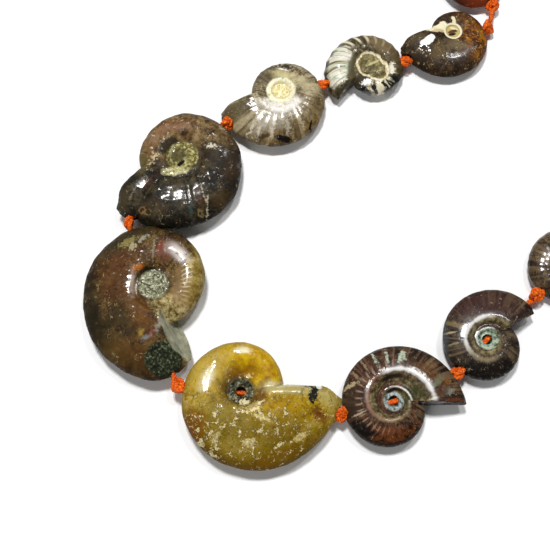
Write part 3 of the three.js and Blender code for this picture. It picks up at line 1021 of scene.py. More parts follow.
def chestnut_stone(coil, tints):
    stone, color = stone_base("chestnut_stone", coil, tints, 3.0)
    amber = stone.patch((8.6, -1.5), (6.4, 11), 8, 0.5, 1.4)
    honey = grains(stone, 1.5, (44, 22, 8), (84, 44, 14), (124, 70, 20), (176, 118, 40))
    color = stone.lay(color, honey, 0.9, amber)
    color = blots(
        stone, color, ((44, 32, 22), 0.7, (2, -8.5), (6.5, 3.4), -16, 0.6, 0.8),
        ((100, 88, 66), 0.6, (-10.4, -2.8), (2.8, 2.0), 16, 0.4, 0.6),
        ((40, 30, 18), 0.6, (-11, -7), (6, 4), -28, 0.5, 0.8),
        ((128, 114, 90), 0.6, (0.6, -4.4), (3.4, 1.7), -12, 0.7, 0.8),
        ((190, 124, 40), 0.5, (8.2, -1.2), (0.7, 1.8), 6, 0.9, 1.2),
        ((180, 118, 40), 0.45, (6.4, -7.3), (0.9, 1.0), -30, 0.9, 1.2),
        ((122, 104, 66), 0.5, (-4.6, -6.8), (2.6, 2.0), 10, 0.8, 1.0),
        ((66, 34, 14), 0.7, (3.5, 6.0), (5, 2.6), -20, 0.6, 1.0),
    )
    color = veins(stone, color, paint(252, 226, 160), 2.2, 0.02, 0.8, amber, 0.9, 0.05)
    color = veins(stone, color, paint(206, 184, 130), 3.6, 0.012, 0.7, None, 2.0)
    color = flecks(stone, color, paint(196, 160, 96), 1.1, 0.35, 0.6)
    color = veins(stone, color, paint(20, 13, 9), 2.4, 0.03, 0.8)
    cream = paint(250, 240, 206)
    color = blots(
        stone, color, (cream, 1, (-4.9, 1.1), (3.4, 1.5), 10, 0.08, 0.35),
        (cream, 1, (-2.7, 2.4), (1.3, 1.4), 30, 0.08, 0.3),
        ((214, 190, 138), 0.8, (-4.2, 0.2), (2.6, 0.5), 8, 0.2, 0.3),
        (QUARTZ, 1, (-7.4, -3.1), (1.2, 2.2), -46, 0.05, 0.14),
        (QUARTZ, 1, (-8.6, -3.6), (1.6, 0.8), 20, 0.05, 0.1),
        (cream, 0.95, (0.4, 3.9), (0.6, 1.3), 10, 0.1, 0.3),
        ((204, 184, 120), 1, (0, 0.6), (2.2, 2.2), 0, 0.1, 0.06),
        ((246, 236, 204), 0.9, (0.3, 1.5), (1.1, 0.5), -16, 0.2, 0.1),
        ((96, 62, 34), 1, (-0.1, 0.4), (1.5, 0.55), 14, 0.2, 0.1),
        ((30, 16, 8), 1, (-0.3, -0.5), (1.2, 0.4), 14, 0.15, 0.06),
    )
    ring = stone.times(stone.disc(2.7, 0.06, 0.1), stone.outside(stone.disc(2.05, 0.06, 0.1)))
    stone.heights.append((ring, 0.2))
    gloss(stone, 0.96, ((2.6, -7.2), (4.6, 2.8), 14), ((-5, -10.8), (4, 1.2), -18),
          ((5, 6), (1.4, 1), -30))
    return polished(stone, stone.mix(ring, color, cream))


def banded_stone(coil, tints):
    stone, color = stone_base("banded_stone", coil, tints, 1.5, 0.13)
    outer = stone.patch((-5.0, 6.0), (9.6, 8.6), 30, 0.3, 0.5)
    spokes = stone.times(stone.ribs(coil["ribs"], 0.42, 0.3), stone.rise(stone.share, 0.62, 0.76))
    color = stone.lay(color, paint(228, 218, 184), 0.95, spokes, outer)
    grooves = stone.times(stone.outside(stone.ribs(coil["ribs"], 0.75, 0.3)),
                          stone.rise(stone.share, 0.66, 0.84))
    color = stone.lay(color, paint(40, 34, 22), 0.6, grooves)
    nacre = stone.ramp(stone.growth_lines(52, 0.5, 4), (0.36, paint(84, 78, 50)),
                       (0.44, paint(178, 172, 140)), (0.5, paint(244, 240, 224)),
                       (0.6, paint(232, 222, 204)), (0.66, paint(150, 138, 108)))
    nacre = stone.mix(stone.rise(stone.noise(1.6, 4, 0.65), 0.52, 0.6), nacre, paint(186, 204, 176))
    pearl = stone.patch((-9.2, 0.2), (3.2, 6.6), -14, 0.15, 0.6)
    color = stone.lay(color, nacre, 0.95, pearl)
    color = blots(
        stone, color, ((62, 54, 36), 1, (-6.0, -7.0), (6.6, 2.1), 47, 0.15, 0.3),
        ((92, 84, 58), 0.85, (-5.4, -0.6), (1.7, 4.2), -8, 0.3, 0.5),
        ((58, 50, 34), 0.9, (-3.0, -5.2), (2.4, 2.2), 0, 0.3, 0.4),
        ((128, 108, 76), 0.7, (4.0, 8.0), (6, 3.2), -30, 0.5, 0.8),
        ((84, 66, 40), 0.7, (8.4, 3.4), (3.2, 4.0), 0, 0.5, 0.8),
    )
    black = stone.times(stone.patch((3.6, -7.8), (9.8, 4.6), 14, 0.15, 0.5),
                        stone.rise(stone.share, 0.62, 0.74))
    color = stone.lay(color, paint(17, 16, 17), 0.97, black)
    white = stone.patch((2.6, -4.0), (4.6, 3.0), 44, 0.2, 1.2)
    rays = stone.rise(stone.growth_lines(26, 1.6, 6), 0.49, 0.54)
    color = stone.lay(color, paint(240, 230, 198), 0.95, white, rays)
    rim = stone.math("MAXIMUM", stone.patch((-0.6, 1.0), (3.9, 4.0), -20, 0.05, 0.3),
                     stone.patch((1.4, -0.4), (4.6, 3.4), -58, 0.05, 0.35))
    color = stone.mix(rim, color, grains(stone, 0.8, (196, 174, 122), (242, 228, 188), (252, 246, 226)))
    pan = stone.math("MAXIMUM", stone.patch((-0.6, 1.1), (3.1, 3.2), -20, 0.06, 0.25),
                     stone.patch((1.2, -0.3), (3.8, 2.5), -58, 0.06, 0.3))
    stone.heights.append((stone.math("SUBTRACT", rim, pan), 0.25))
    olive = grains(stone, 1.4, (66, 58, 36), (106, 96, 62), (132, 122, 82), (170, 160, 114))
    color = stone.mix(pan, color, olive)
    # Painted highlight: the first blot, a thin pale diagonal across the olive navel.
    color = blots(stone, color, ((200, 190, 142), 0.9, (0.6, 1.6), (0.35, 2.2), -60, 0.4, 0.3),
                  (QUARTZ, 1, (-1.7, -4.8), (1.6, 0.8), 24, 0.15, 0.5),
                  ((236, 226, 196), 1, (1.8, -6.4), (0.6, 1.8), 8, 0.2, 0.5),
                  ((240, 234, 214), 0.9, (5.6, -0.6), (0.9, 1.5), -10, 0.2, 0.8))
    gloss(stone, 0.9, ((-9, 1), (3.6, 8), -14), ((3.6, -8.6), (9, 3.4), 14))
    return polished(stone, color, waves=0.03, value=0.87)


def silver_stone(coil, tints):
    stone, color = stone_base("silver_stone", coil, tints, 3.4, 0.15, 90, 0.5)
    outer = stone.rise(stone.share, 0.5, 0.62)
    color = combed(stone, color, paint(186, 172, 136), stone.growth_lines(26, 0.5, 4),
                   0.5, 0.6, outer, 0.65)
    color = combed(stone, color, paint(56, 42, 24), stone.growth_lines(40, 0.9, 5),
                   0.53, 0.6, outer, 0.75)
    amber = grains(stone, 1.6, (52, 36, 16), (96, 72, 34), (132, 108, 62))
    color = blots(
        stone, color, (amber, 0.7, (9.4, -7.6), (5, 7), -38, 0.6, 1.4),
        (amber, 0.7, (-3.4, -13.0), (7, 2.4), -6, 0.5, 1.2),
        ((178, 170, 152), 0.6, (-3.0, -9.4), (4.4, 2.6), 20, 0.7, 1.0),
        # Painted highlights: the next five thin pale streaks are glints on the ribs.
        ((206, 198, 180), 0.7, (-8.2, -11.2), (0.5, 1.6), -34, 0.5, 0.9),
        ((206, 198, 180), 0.7, (-6.2, -12.0), (0.5, 1.5), -24, 0.5, 0.9),
        ((198, 188, 168), 0.7, (-2.4, -12.0), (0.5, 1.6), -8, 0.5, 0.9),
        ((186, 178, 158), 0.6, (2.0, -10.6), (0.6, 2.2), 6, 0.5, 0.9),
        ((190, 180, 150), 0.6, (5.2, -8.4), (0.6, 2.2), 32, 0.5, 0.9),
        ((200, 188, 150), 0.6, (7.6, 2.0), (2.8, 1.8), -30, 0.7, 0.9),
        ((78, 68, 48), 0.75, (-5.0, 5.6), (2.6, 3.2), 36, 0.5, 0.8),
        ((34, 29, 26), 0.95, (1.4, 8.3), (2.2, 0.8), -12, 0.15, 0.8),
        ((52, 44, 38), 0.9, (-1.8, 7.6), (1.3, 1.1), 40, 0.2, 0.9),
        # Painted reflection: the thin white streak below the dark patch.
        ((250, 250, 250), 0.9, (0.6, 7.2), (1.5, 0.25), -16, 0.4, 0.6),
        ((204, 194, 140), 0.6, (1.0, 5.2), (3.6, 1.4), -20, 0.6, 1.1),
        ((88, 78, 50), 0.7, (-13.5, -6.5), (4.2, 3.0), 20, 0.5, 0.8),
        ((14, 10, 8), 1, (0.9, -14.0), (2.4, 0.75), -8, 0.1, 0.3),
        ((14, 10, 8), 1, (8.4, -10.0), (0.3, 1.6), -14, 0.2, 0.3),
        ((60, 48, 30), 0.9, (-4.6, -13.4), (1.6, 0.5), 12, 0.3, 0.4),
    )
    color = veins(stone, color, paint(226, 214, 176), 3.0, 0.014, 0.6, None, 1.4)
    # Painted highlight: a broad pale arc on the flank below the navel, in pale grains.
    light = grains(stone, 1.4, (176, 162, 140), (232, 226, 212), (255, 252, 246), (222, 206, 196))
    glow = stone.times(stone.disc(6.9, 0.1, 0.3), stone.patch((-0.2, -4.8), (7.2, 3.2), 6, 0.2, 0.5))
    color = stone.lay(color, light, 0.85, glow)
    halo = stone.disc(4.1, 0.1, 0.14)
    tinge = stone.ramp(stone.noise(1.5, 5, 0.7), (0.36, paint(132, 160, 122)),
                       (0.44, paint(236, 230, 184)), (0.56, paint(252, 248, 222)),
                       (0.66, paint(232, 196, 150)))
    color = stone.lay(color, tinge, 0.95, halo)
    color = crystal_floor(stone, color, 2.4, (160, 142, 84), (230, 214, 146), (250, 241, 194),
                          (255, 252, 230), ragged=0.2, grain=0.8, dull=0.4)
    color = veins(stone, color, paint(112, 104, 66), 1.6, 0.03, 0.8, halo, 1.2)
    gloss(stone, 0.75, ((0.4, -5.6), (8, 2.6), -8), ((-5.2, -10.4), (4.4, 2.2), 10),
          ((6.6, -2.6), (2, 3.4), -20))
    return polished(stone, color, waves=0.04, lines=0.03, value=0.95)


def dark_stone(coil, tints):
    stone, color = stone_base("dark_stone", coil, tints, 2.6)
    upper = stone.patch((-2.5, 7.2), (16, 8.8), -6, 0.35, 1.2)
    earth = grains(stone, 1.8, (48, 34, 22), (98, 72, 44), (128, 106, 66), (160, 134, 100),
                   detail=6, distortion=0.6)
    color = stone.lay(color, earth, 0.92, upper)
    color = blots(
        stone, color, ((110, 98, 50), 0.6, (-11.0, 1.0), (2.6, 5.5), 10, 0.5, 0.9),
        ((112, 76, 46), 0.5, (-8.0, 3.6), (2.8, 4.2), -20, 0.5, 0.9),
        ((124, 80, 42), 0.55, (-3.0, 9.0), (5, 2.0), 20, 0.5, 0.8),
        ((44, 38, 30), 0.8, (11.5, -0.5), (8, 3.4), -26, 0.4, 0.8),
        ((120, 58, 46), 0.6, (-8.2, -7.9), (1.5, 0.3), 42, 0.9, 0.9),
        ((92, 54, 26), 0.5, (5.6, -12.4), (0.8, 2.4), 24, 0.9, 0.8),
        ((70, 54, 30), 0.45, (-6.4, -15.2), (3.6, 2.2), 8, 0.6, 0.8),
        ((78, 58, 30), 0.5, (11.5, -12.6), (2.4, 2.8), 0, 0.7, 0.9),
        ((70, 60, 40), 0.7, (-16.4, -13.4), (2.6, 3.8), -34, 0.4, 0.7),
        ((72, 50, 28), 0.4, (13.8, -4.0), (2.0, 4.4), -20, 0.7, 0.9),
    )
    off = stone.math("ABSOLUTE", stone.math("SUBTRACT", stone.cells(3.4), 0.3))
    rings = stone.times(stone.rise(off, 0.06, 0.02), stone.rise(stone.share, 0.66, 0.8),
                        stone.rise(stone.noise(3, 2), 0.5, 0.56),
                        stone.rise(stone.noise(0.9, 2), 0.42, 0.5))
    stone.heights.append((rings, 0.1))
    color = stone.lay(color, paint(148, 128, 78), 0.7, rings, stone.outside(upper))
    color = veins(stone, color, paint(206, 192, 154), 4.4, 0.008, 0.75, None, 2.2, 0.03)
    color = veins(stone, color, paint(10, 8, 6), 2.2, 0.035, 0.85)
    color = veins(stone, color, paint(250, 240, 212), 3.4, 0.02, 0.9, upper, 1.9, 0.12)
    color = blots(
        stone, color, ((222, 200, 160), 0.8, (-6.8, 0.2), (0.6, 2.4), -28, 0.6, 1.6),
        ((232, 222, 200), 0.85, (8.6, 2.6), (1.4, 0.5), -10, 0.5, 0.9),
        ((168, 136, 114), 0.35, (-1.0, 8.6), (4.6, 0.9), 6, 0.9, 1.8),
        ((160, 130, 104), 0.5, (-7.6, 5.4), (2.2, 1.2), 40, 0.8, 1.4),
        ((22, 17, 11), 0.85, (-3.8, 3.4), (3.2, 1.6), 38, 0.3, 0.7),
        ((196, 182, 150), 0.7, (6.6, -11.0), (0.16, 2.6), 16, 0.8, 1.0),
        ((196, 182, 150), 0.7, (7.7, -14.6), (0.16, 2.4), -4, 0.8, 1.0),
        ((76, 104, 98), 0.35, (3.3, -15.6), (0.5, 1.2), 10, 0.8, 0.9),
        ((146, 116, 74), 0.8, (-10.0, -15.8), (1.0, 1.0), 0, 0.2, 0.4),
        ((40, 30, 18), 0.9, (-10.0, -15.8), (0.6, 0.6), 0, 0.2, 0.4),
        ((130, 112, 72), 0.8, (5.9, -16.4), (0.7, 1.0), 20, 0.2, 0.4),
        ((30, 24, 16), 0.9, (5.9, -16.4), (0.35, 0.6), 20, 0.2, 0.4),
        ((138, 128, 104), 0.6, (-12.2, -10.6), (0.2, 2.6), -30, 0.8, 1.0),
    )
    color = crystal_floor(stone, color, 4.4, (58, 52, 26), (116, 106, 58), (168, 158, 100),
                          (226, 220, 172), ragged=0.16, grain=0.9, dull=0.6)
    glint = grains(stone, 0.7, (112, 104, 62), (196, 188, 132), (250, 246, 216))
    color = blots(stone, color, (glint, 0.9, (-1.2, -4.4), (3.6, 1.3), 8, 0.3, 0.4),
                  ((74, 66, 38), 0.85, (-0.6, 0.6), (2.5, 2.2), 12, 0.4, 0.4),
                  ((10, 8, 6), 1, (0.2, -1.9), (1.2, 0.5), 38, 0.12, 0.05))
    gloss(stone, 0.95, ((1.4, -11.2), (5.6, 2.6), 10), ((13.5, 1.5), (4.4, 2.0), -60),
          ((-11.4, -9.8), (3, 1.4), 44))
    return polished(stone, color, waves=0.06, pits=0.03, value=0.86)


def brown_stone(coil, tints):
    stone, color = stone_base("brown_stone", coil, tints, 3.8)
    rim = stone.patch((10.8, 2.0), (3.2, 13), -4, 0.3, 0.8)
    gold = grains(stone, 2.6, (78, 60, 22), (128, 104, 44), (166, 144, 74), (200, 182, 120))
    beige = stone.patch((4.6, -7.6), (6.4, 3.6), -34, 0.3, 0.9)
    sand = grains(stone, 1.0, (78, 60, 32), (140, 120, 72), (186, 168, 112), (224, 208, 160))
    color = blots(
        stone, color, ((32, 28, 15), 0.85, (-16.6, -7), (2.6, 13), 14, 0.7, 1.4),
        ((46, 40, 22), 0.85, (-9, 12.2), (9, 2.8), 34, 0.5, 1.2),
        ((92, 54, 24), 0.65, (-11.0, 0.5), (4.0, 6.4), 8, 0.8, 1.4),
        ((112, 70, 28), 0.65, (-3.6, -8.4), (3.0, 5.4), 24, 0.8, 1.4),
        ((98, 76, 38), 0.6, (-9.0, -17.5), (5.0, 4.0), 40, 0.8, 1.4),
        ((104, 64, 30), 0.55, (-7, 6.6), (4.0, 3.4), 40, 0.6, 1.0),
        ((96, 62, 44), 0.7, (4.4, 9.0), (5.0, 3.0), -24, 0.6, 0.9),
        ((84, 54, 22), 0.7, (-3.0, -19.0), (7.0, 4.0), -10, 0.6, 1.2),
        ((58, 46, 24), 0.7, (-9.5, -10.5), (3.4, 4.4), 0, 0.6, 1.4),
    )
    color = stone.lay(color, gold, 0.9, rim)
    color = stone.lay(color, sand, 0.92, beige)
    color = blots(
        stone, color, ((150, 138, 84), 0.8, (-7.6, 11.4), (2.6, 1.0), 30, 0.3, 1.1),
        ((184, 176, 140), 0.75, (-6.4, 9.6), (1.1, 0.8), 10, 0.25, 0.8),
        ((178, 172, 150), 0.7, (-3.8, 12.3), (1.7, 0.6), 40, 0.3, 0.9),
        # Painted highlight: the pale blot on the dome right of the navel.
        ((232, 222, 214), 0.9, (5.7, 8.3), (3.2, 1.5), -38, 0.8, 0.3),
        ((132, 84, 70), 0.5, (1.4, 8.6), (2.2, 2.4), -20, 0.9, 0.8),
        # Painted highlight: the peach-white streak on the left shoulder.
        ((226, 204, 186), 0.7, (-5.9, -0.4), (0.8, 3.0), 3, 0.8, 0.5),
        ((140, 132, 104), 0.8, (-0.8, 9.4), (0.3, 3.2), -4, 0.5, 0.3),
        ((164, 134, 94), 0.6, (6.6, -1.8), (2.6, 5.0), 4, 0.6, 0.8),
        # Painted highlight: the small orange glint at the top of that shoulder.
        ((214, 120, 54), 0.7, (-4.8, 3.9), (1.3, 0.5), 36, 0.9, 0.7),
        ((150, 62, 44), 0.6, (0.9, 9.9), (0.5, 1.3), -12, 0.9, 0.5),
        ((206, 172, 84), 0.5, (-3.2, -14.0), (0.6, 0.9), -20, 0.9, 0.3),
        ((168, 92, 84), 0.5, (-0.4, -14.0), (0.5, 1.1), -20, 0.9, 0.3),
        ((150, 156, 160), 0.55, (-2.0, -15.2), (1.1, 0.5), 30, 0.9, 0.3),
        ((200, 186, 168), 0.6, (1.6, -11.6), (0.6, 1.8), -24, 0.9, 0.6),
    )
    color = veins(stone, color, paint(170, 156, 118), 5.0, 0.02, 0.4,
                  stone.patch((-12, -6), (6, 13), 16, 0.5), 3.6)
    color = veins(stone, color, paint(196, 178, 134), 5.0, 0.007, 0.75, None, 2.6, 0.03)
    color = veins(stone, color, paint(236, 224, 190), 3.0, 0.012, 0.7,
                  stone.patch((0, 6), (12, 9), 0, 0.5), 1.4, 0.04)
    color = veins(stone, color, paint(20, 14, 8), 2.8, 0.03, 0.85)
    # Painted highlight: pale spokes along the ribs at the comb right of the navel.
    spokes = stone.times(stone.ribs(46, 0.35, 0.6), stone.patch((8.2, 1.5), (1.3, 5.5), -4, 0.5, 0.3))
    color = stone.lay(color, paint(232, 214, 170), 0.7, spokes)
    color = blots(stone, color, (sand, 0.9, (9.2, -20.0), (2.2, 4.6), 24, 0.35, 0.8),
                  ((58, 38, 20), 0.8, (7.4, -22.0), (1.6, 1.4), 0, 0.4, 0.6),
                  (sand, 0.8, (5.6, -15.8), (0.7, 2.6), 30, 0.35, 0.5))
    green = stone.patch((2.6, -20.4), (4.8, 4.5), 20, 0.06, 0.3)
    grit = grains(stone, 0.7, (12, 15, 9), (34, 40, 24), (58, 64, 42), (124, 130, 100))
    color = stone.mix(green, color, grit)
    roughen(stone, green)
    stone.heights.append((stone.times(green, stone.noise(0.6, 4, 0.7)), 0.5))
    color = crystal_floor(stone, color, 4.0, (34, 36, 24), (108, 108, 80), (168, 168, 138),
                          (240, 238, 216), ragged=0.2, grain=1.5, dull=0.5, curl=2.2)
    cut = stone.times(stone.facing(coil["mouth"] + 90, 0.3, 0.45),
                      stone.patch((8.5, -14), (5, 12), 30, 0.1))
    color = stone.mix(cut, color, grains(stone, 2.5, (128, 128, 104), (154, 154, 130), (182, 180, 156)))
    roughen(stone, stone.times(cut, 0.5))
    gloss(stone, 0.94, ((5.4, 8.2), (3.6, 2.4), -38), ((-6.2, -0.6), (1.4, 2.2), 4),
          ((8.6, 1.5), (1.0, 2.6), 0), ((1.6, -11.6), (0.8, 1.8), -20))
    return polished(stone, color)


def golden_stone(coil, tints):
    stone, color = stone_base("golden_stone", coil, tints, 3.2, 0.16, 40, 0.2)
    glow = stone.patch((3.4, 6.6), (8.0, 5.4), -28, 0.5, 0.9)
    honey = grains(stone, 2.2, (164, 118, 0), (200, 158, 4), (222, 186, 34))
    color = stone.lay(color, honey, 0.9, glow)
    color = blots(
        stone, color, ((200, 170, 78), 0.7, (-9.2, 5.0), (4.6, 6.6), -30, 0.6, 1.2),
        ((136, 118, 46), 0.7, (-5.5, -7.5), (8.5, 5.0), -10, 0.6, 1.4),
        ((182, 142, 4), 0.8, (10.5, -5.6), (6, 3.0), -8, 0.6, 1.0),
        ((116, 96, 26), 0.7, (0, -13.6), (15, 6), 6, 0.7, 1.2),
        ((108, 84, 20), 0.6, (11, -11), (6, 4), 30, 0.7, 1.4),
    )
    rim = stone.times(stone.rise(stone.share, 0.8, 1.0), stone.patch((-3, -15), (24, 9), 0, 0.4))
    color = stone.lay(color, paint(84, 58, 8), 0.85, rim)
    color = blots(
        stone, color, ((120, 70, 14), 0.8, (-12.5, -9.0), (3, 4), 30, 0.6, 1.0),
        ((112, 78, 14), 0.7, (8, -17), (7, 1.6), 22, 0.6, 0.8),
        ((96, 60, 34), 0.8, (4.4, -1.2), (1.5, 3.4), -14, 0.5, 0.8),
        ((88, 62, 24), 0.85, (-3.2, 1.2), (2.8, 4.2), -30, 0.6, 0.8),
        ((120, 72, 18), 0.6, (0.2, 4.4), (4.4, 1.8), 0, 0.7, 0.9),
        # Painted highlight: the next two pale blots, a band along the ledge under the lip.
        ((214, 200, 146), 0.65, (8.0, 0.4), (3.4, 1.6), -4, 0.5, 0.6),
        ((196, 184, 124), 0.7, (14.0, -0.2), (6.5, 1.3), -3, 0.6, 0.5),
        ((190, 180, 118), 0.55, (21.6, -2.0), (2.8, 1.8), -20, 0.8, 0.8),
        ((118, 62, 20), 0.8, (19.6, -7.0), (1.8, 1.4), 0, 0.5, 0.6),
    )
    lit, shade = paint(248, 232, 178), paint(88, 64, 10)
    lower = stone.patch((0, -10.8), (21, 8.4), 4, 0.4)
    low = stone.outside(stone.times(glow, 0.8))
    color = veins(stone, color, shade, 2.0, 0.09, 0.55, low, 1.4)
    color = veins(stone, color, lit, 2.2, 0.026, 0.95, low, 1.2, 0.14)
    color = shell_leaves(stone, color, 2.0, 0.56, lower, lit, shade)
    color = veins(stone, color, lit, 1.6, 0.03, 0.8,
                  stone.patch((-8.4, 6.6), (6.4, 4.2), 30, 0.4), 0.9, 0.1)
    scrap = grains(stone, 0.7, (176, 150, 74), (216, 196, 132), (250, 240, 200), roughness=0.8)
    color = blots(
        stone, color, (scrap, 0.8, (1.0, -13.6), (1.5, 1.0), 30, 0.08, 1.0),
        (scrap, 0.8, (14.2, -12.2), (1.6, 0.8), 30, 0.08, 0.9),
        (scrap, 0.8, (3.4, -5.2), (1.1, 0.8), 42, 0.1, 0.7),
        (scrap, 0.85, (4.6, -7.4), (1.9, 0.6), -22, 0.1, 0.7),
        (scrap, 0.7, (-7.0, -12.2), (0.7, 2.0), -30, 0.25, 0.9),
        ((24, 25, 22), 1, (17.9, -1.2), (1.0, 2.6), -8, 0.06, 0.9),
        ((24, 25, 22), 1, (17.2, 1.2), (2.4, 0.8), -4, 0.06, 0.9),
        # Painted highlight: the small white spot on the nose.
        ((244, 248, 240), 1, (19.4, 0.6), (0.8, 0.5), -20, 0.15, 0.2),
    )
    color = crystal_floor(stone, color, 3.5, (18, 17, 12), (54, 52, 36), (100, 98, 72), (180, 174, 146),
                          ragged=0.16, grain=0.9, dull=0.3)
    color = blots(
        stone, color, ((196, 176, 118), 0.7, (2.6, -4.6), (2.0, 0.8), 24, 0.3, 0.9),
        (lit, 0.9, (2.4, -5.6), (1.6, 0.35), 24, 0.1, 0.7),
        (lit, 0.9, (4.2, -4.0), (0.3, 1.2), -30, 0.1, 0.7),
        ((236, 222, 176), 0.95, (0.3, -3.4), (1.0, 0.7), 0, 0.12, 0.6),
        ((228, 206, 150), 0.8, (0.6, 3.6), (1.4, 0.4), 4, 0.3, 0.9),
        # Painted highlight: a pale blot on the same ledge.
        ((216, 204, 160), 0.8, (8.0, 1.0), (2.0, 0.7), -4, 0.3, 0.8),
        ((100, 52, 16), 0.8, (18.8, -6.0), (1.2, 1.2), 0, 0.5, 0.9),
        # Painted highlights: the next two pale blots, on the top and the left of the whorl.
        ((250, 244, 206), 0.8, (-0.2, 10.2), (1.9, 0.9), -4, 0.7, 0.2),
        ((246, 238, 196), 0.75, (-9.4, 2.8), (1.4, 3.2), -28, 0.7, 0.4),
    )
    gloss(stone, 1.0, ((0.0, 10.3), (1.9, 1.3), -4), ((-9.6, 2.6), (1.5, 3.6), -26),
          ((10.5, 0.2), (5.4, 1.6), 0), ((1.5, -14.4), (2, 1), 0))
    return polished(stone, color, rough=0.3, waves=0.08, value=0.84, Subsurface_Weight=0.12,
                    Subsurface_Scale=0.002)


def maroon_stone(coil, tints):
    stone, color = stone_base("maroon_stone", coil, tints, 2.2, 0.15, 70, 0.5)
    outer = stone.rise(stone.share, 0.62, 0.74)
    color = combed(stone, color, paint(150, 124, 94), stone.growth_lines(84, 0.4, 4),
                   0.52, 0.6, outer, 0.4)
    streaks = stone.growth_lines(46, 0.5, 5)
    color = combed(stone, color, paint(132, 108, 80), streaks, 0.51, 0.62, outer, 0.6)
    color = combed(stone, color, paint(24, 13, 8), streaks, 0.48, 0.38, outer, 0.7)
    clear = grains(stone, 1.8, (30, 14, 9), (72, 36, 25), (102, 62, 44))
    nacre = grains(stone, 0.9, (110, 124, 96), (190, 202, 178), (226, 232, 212))
    low = stone.times(stone.patch((1.0, -8.6), (9.5, 5.4), -2, 0.3, 0.8), outer)
    suture = grains(stone, 2.0, (12, 6, 4), (20, 9, 5), (112, 60, 26), (66, 34, 14),
                    detail=5, distortion=0.8)
    color = stone.lay(color, clear, 0.5, stone.patch((-6, 4), (9, 9), 0, 0.6, 1.2))
    color = stone.lay(color, suture, 0.95, low)
    color = blots(
        stone, color, ((50, 38, 24), 0.7, (-9.8, 1.2), (3.0, 5), 0, 0.5, 0.8),
        (nacre, 0.85, (-4.2, 11.8), (0.42, 1.5), 18, 0.5, 0.7),
        (nacre, 0.85, (-1.2, 12.4), (0.34, 1.7), 6, 0.5, 0.7),
        (nacre, 0.95, (2.7, 12.4), (0.8, 1.5), -14, 0.3, 0.8),
        ((190, 174, 134), 0.8, (-10.6, 5.2), (1.7, 0.5), 28, 0.35, 0.7),
        ((168, 142, 112), 0.6, (-9.2, 7.6), (1.7, 0.3), -42, 0.4, 0.7),
        ((172, 148, 118), 0.6, (-6.9, 10.0), (1.7, 0.3), -58, 0.4, 0.7),
        ((190, 176, 150), 0.8, (-8.8, -2.2), (1.9, 0.24), 24, 0.35, 0.5),
        ((12, 9, 7), 0.95, (-8.2, -6.4), (3.2, 2.6), -38, 0.25, 0.7),
        ((120, 66, 40), 0.7, (-1.0, -6.4), (2.6, 1.0), 0, 0.6, 1.0),
        ((104, 68, 34), 0.6, (9.0, 8.2), (3.6, 1.8), -34, 0.5, 0.7),
    )
    inner = stone.outside(stone.rise(stone.share, 0.44, 0.58))
    cellar = grains(stone, 1.2, (48, 40, 24), (92, 80, 52), (128, 114, 80), (170, 156, 118))
    color = stone.lay(color, cellar, 0.85, inner)
    color = blots(
        stone, color, ((56, 60, 28), 0.85, (4.8, 3.2), (3.0, 2.2), 20, 0.5, 0.9),
        ((112, 118, 94), 0.8, (11.6, 6.2), (0.8, 2.2), -44, 0.5, 0.8),
        ((128, 84, 34), 0.7, (14.0, 5.4), (0.9, 2.0), -34, 0.5, 0.8),
        ((150, 156, 140), 0.8, (14.2, 3.8), (1.5, 0.8), -10, 0.5, 0.8),
        ((18, 12, 8), 1, (15.9, 6.2), (0.35, 0.35), 0, 0.2, 0.0),
        ((70, 38, 20), 0.8, (12.6, 3.6), (1.2, 2.4), -60, 0.5, 0.5),
        ((118, 60, 36), 0.7, (15.4, 1.2), (2.2, 0.5), 4, 0.5, 0.7),
        ((224, 216, 194), 0.95, (10.2, 1.5), (1.1, 0.35), 14, 0.3, 0.3),
        ((8, 7, 6), 1, (7.3, 0.6), (0.9, 0.5), 10, 0.2, 0.1),
    )
    # Pale rib ticks beside the crest: painted glints on the rib ridges, partly the ribs' pale colour.
    rib_glints = stone.times(stone.ribs(36, 0.36, 0.7), stone.band(0.62, 0.74, 0.05),
                        stone.rise(stone.radius, 5.0, 6.0),
                        stone.patch((-4.5, 2.5), (8, 11), -30, 0.4, 1.0))
    color = stone.lay(color, paint(200, 164, 138), 0.55, rib_glints)
    color = veins(stone, color, paint(212, 194, 150), 2.6, 0.014, 0.6, None, 1.3, 0.03)
    color = veins(stone, color, paint(16, 9, 6), 1.8, 0.035, 0.8)
    # Painted highlights along the crest: a white arc over the top and right, and fainter pinkish and
    # tan arcs on the left and below.
    arc = stone.patch((4.4, 6.6), (8.6, 4.4), -38, 0.4)
    color = painted_crest_highlight(stone, color, paint(246, 244, 238), 0.038, 0.95, arc, 0.012)
    color = painted_crest_highlight(stone, color, paint(186, 140, 122), 0.035, 0.6,
                       stone.patch((-6.0, 2.6), (2.6, 5.2), -12, 0.7), 0.03)
    color = painted_crest_highlight(stone, color, paint(196, 158, 122), 0.035, 0.5,
                       stone.patch((-0.6, -4.2), (5.4, 2.0), 0, 0.7), 0.02)
    pearl = grains(stone, 0.9, (60, 70, 62), (128, 142, 136), (206, 214, 214), (120, 132, 96))
    color = stone.mix(stone.disc(2.6, 0.12, 0.24), color, pearl)
    cut = stone.facing(coil["mouth"] - 90, 0.4, 0.6)
    gloss(stone, 0.85, ((4.2, 8.0), (8, 2.8), -38), ((-6.3, 3.2), (0.8, 2), -20),
          ((0.6, -4.4), (3, 1), 6), ((11, 1.4), (3, 1.2), 10))
    return polished(stone, stone.mix(cut, color, paint(40, 28, 18)), lines=0.03, value=0.77)


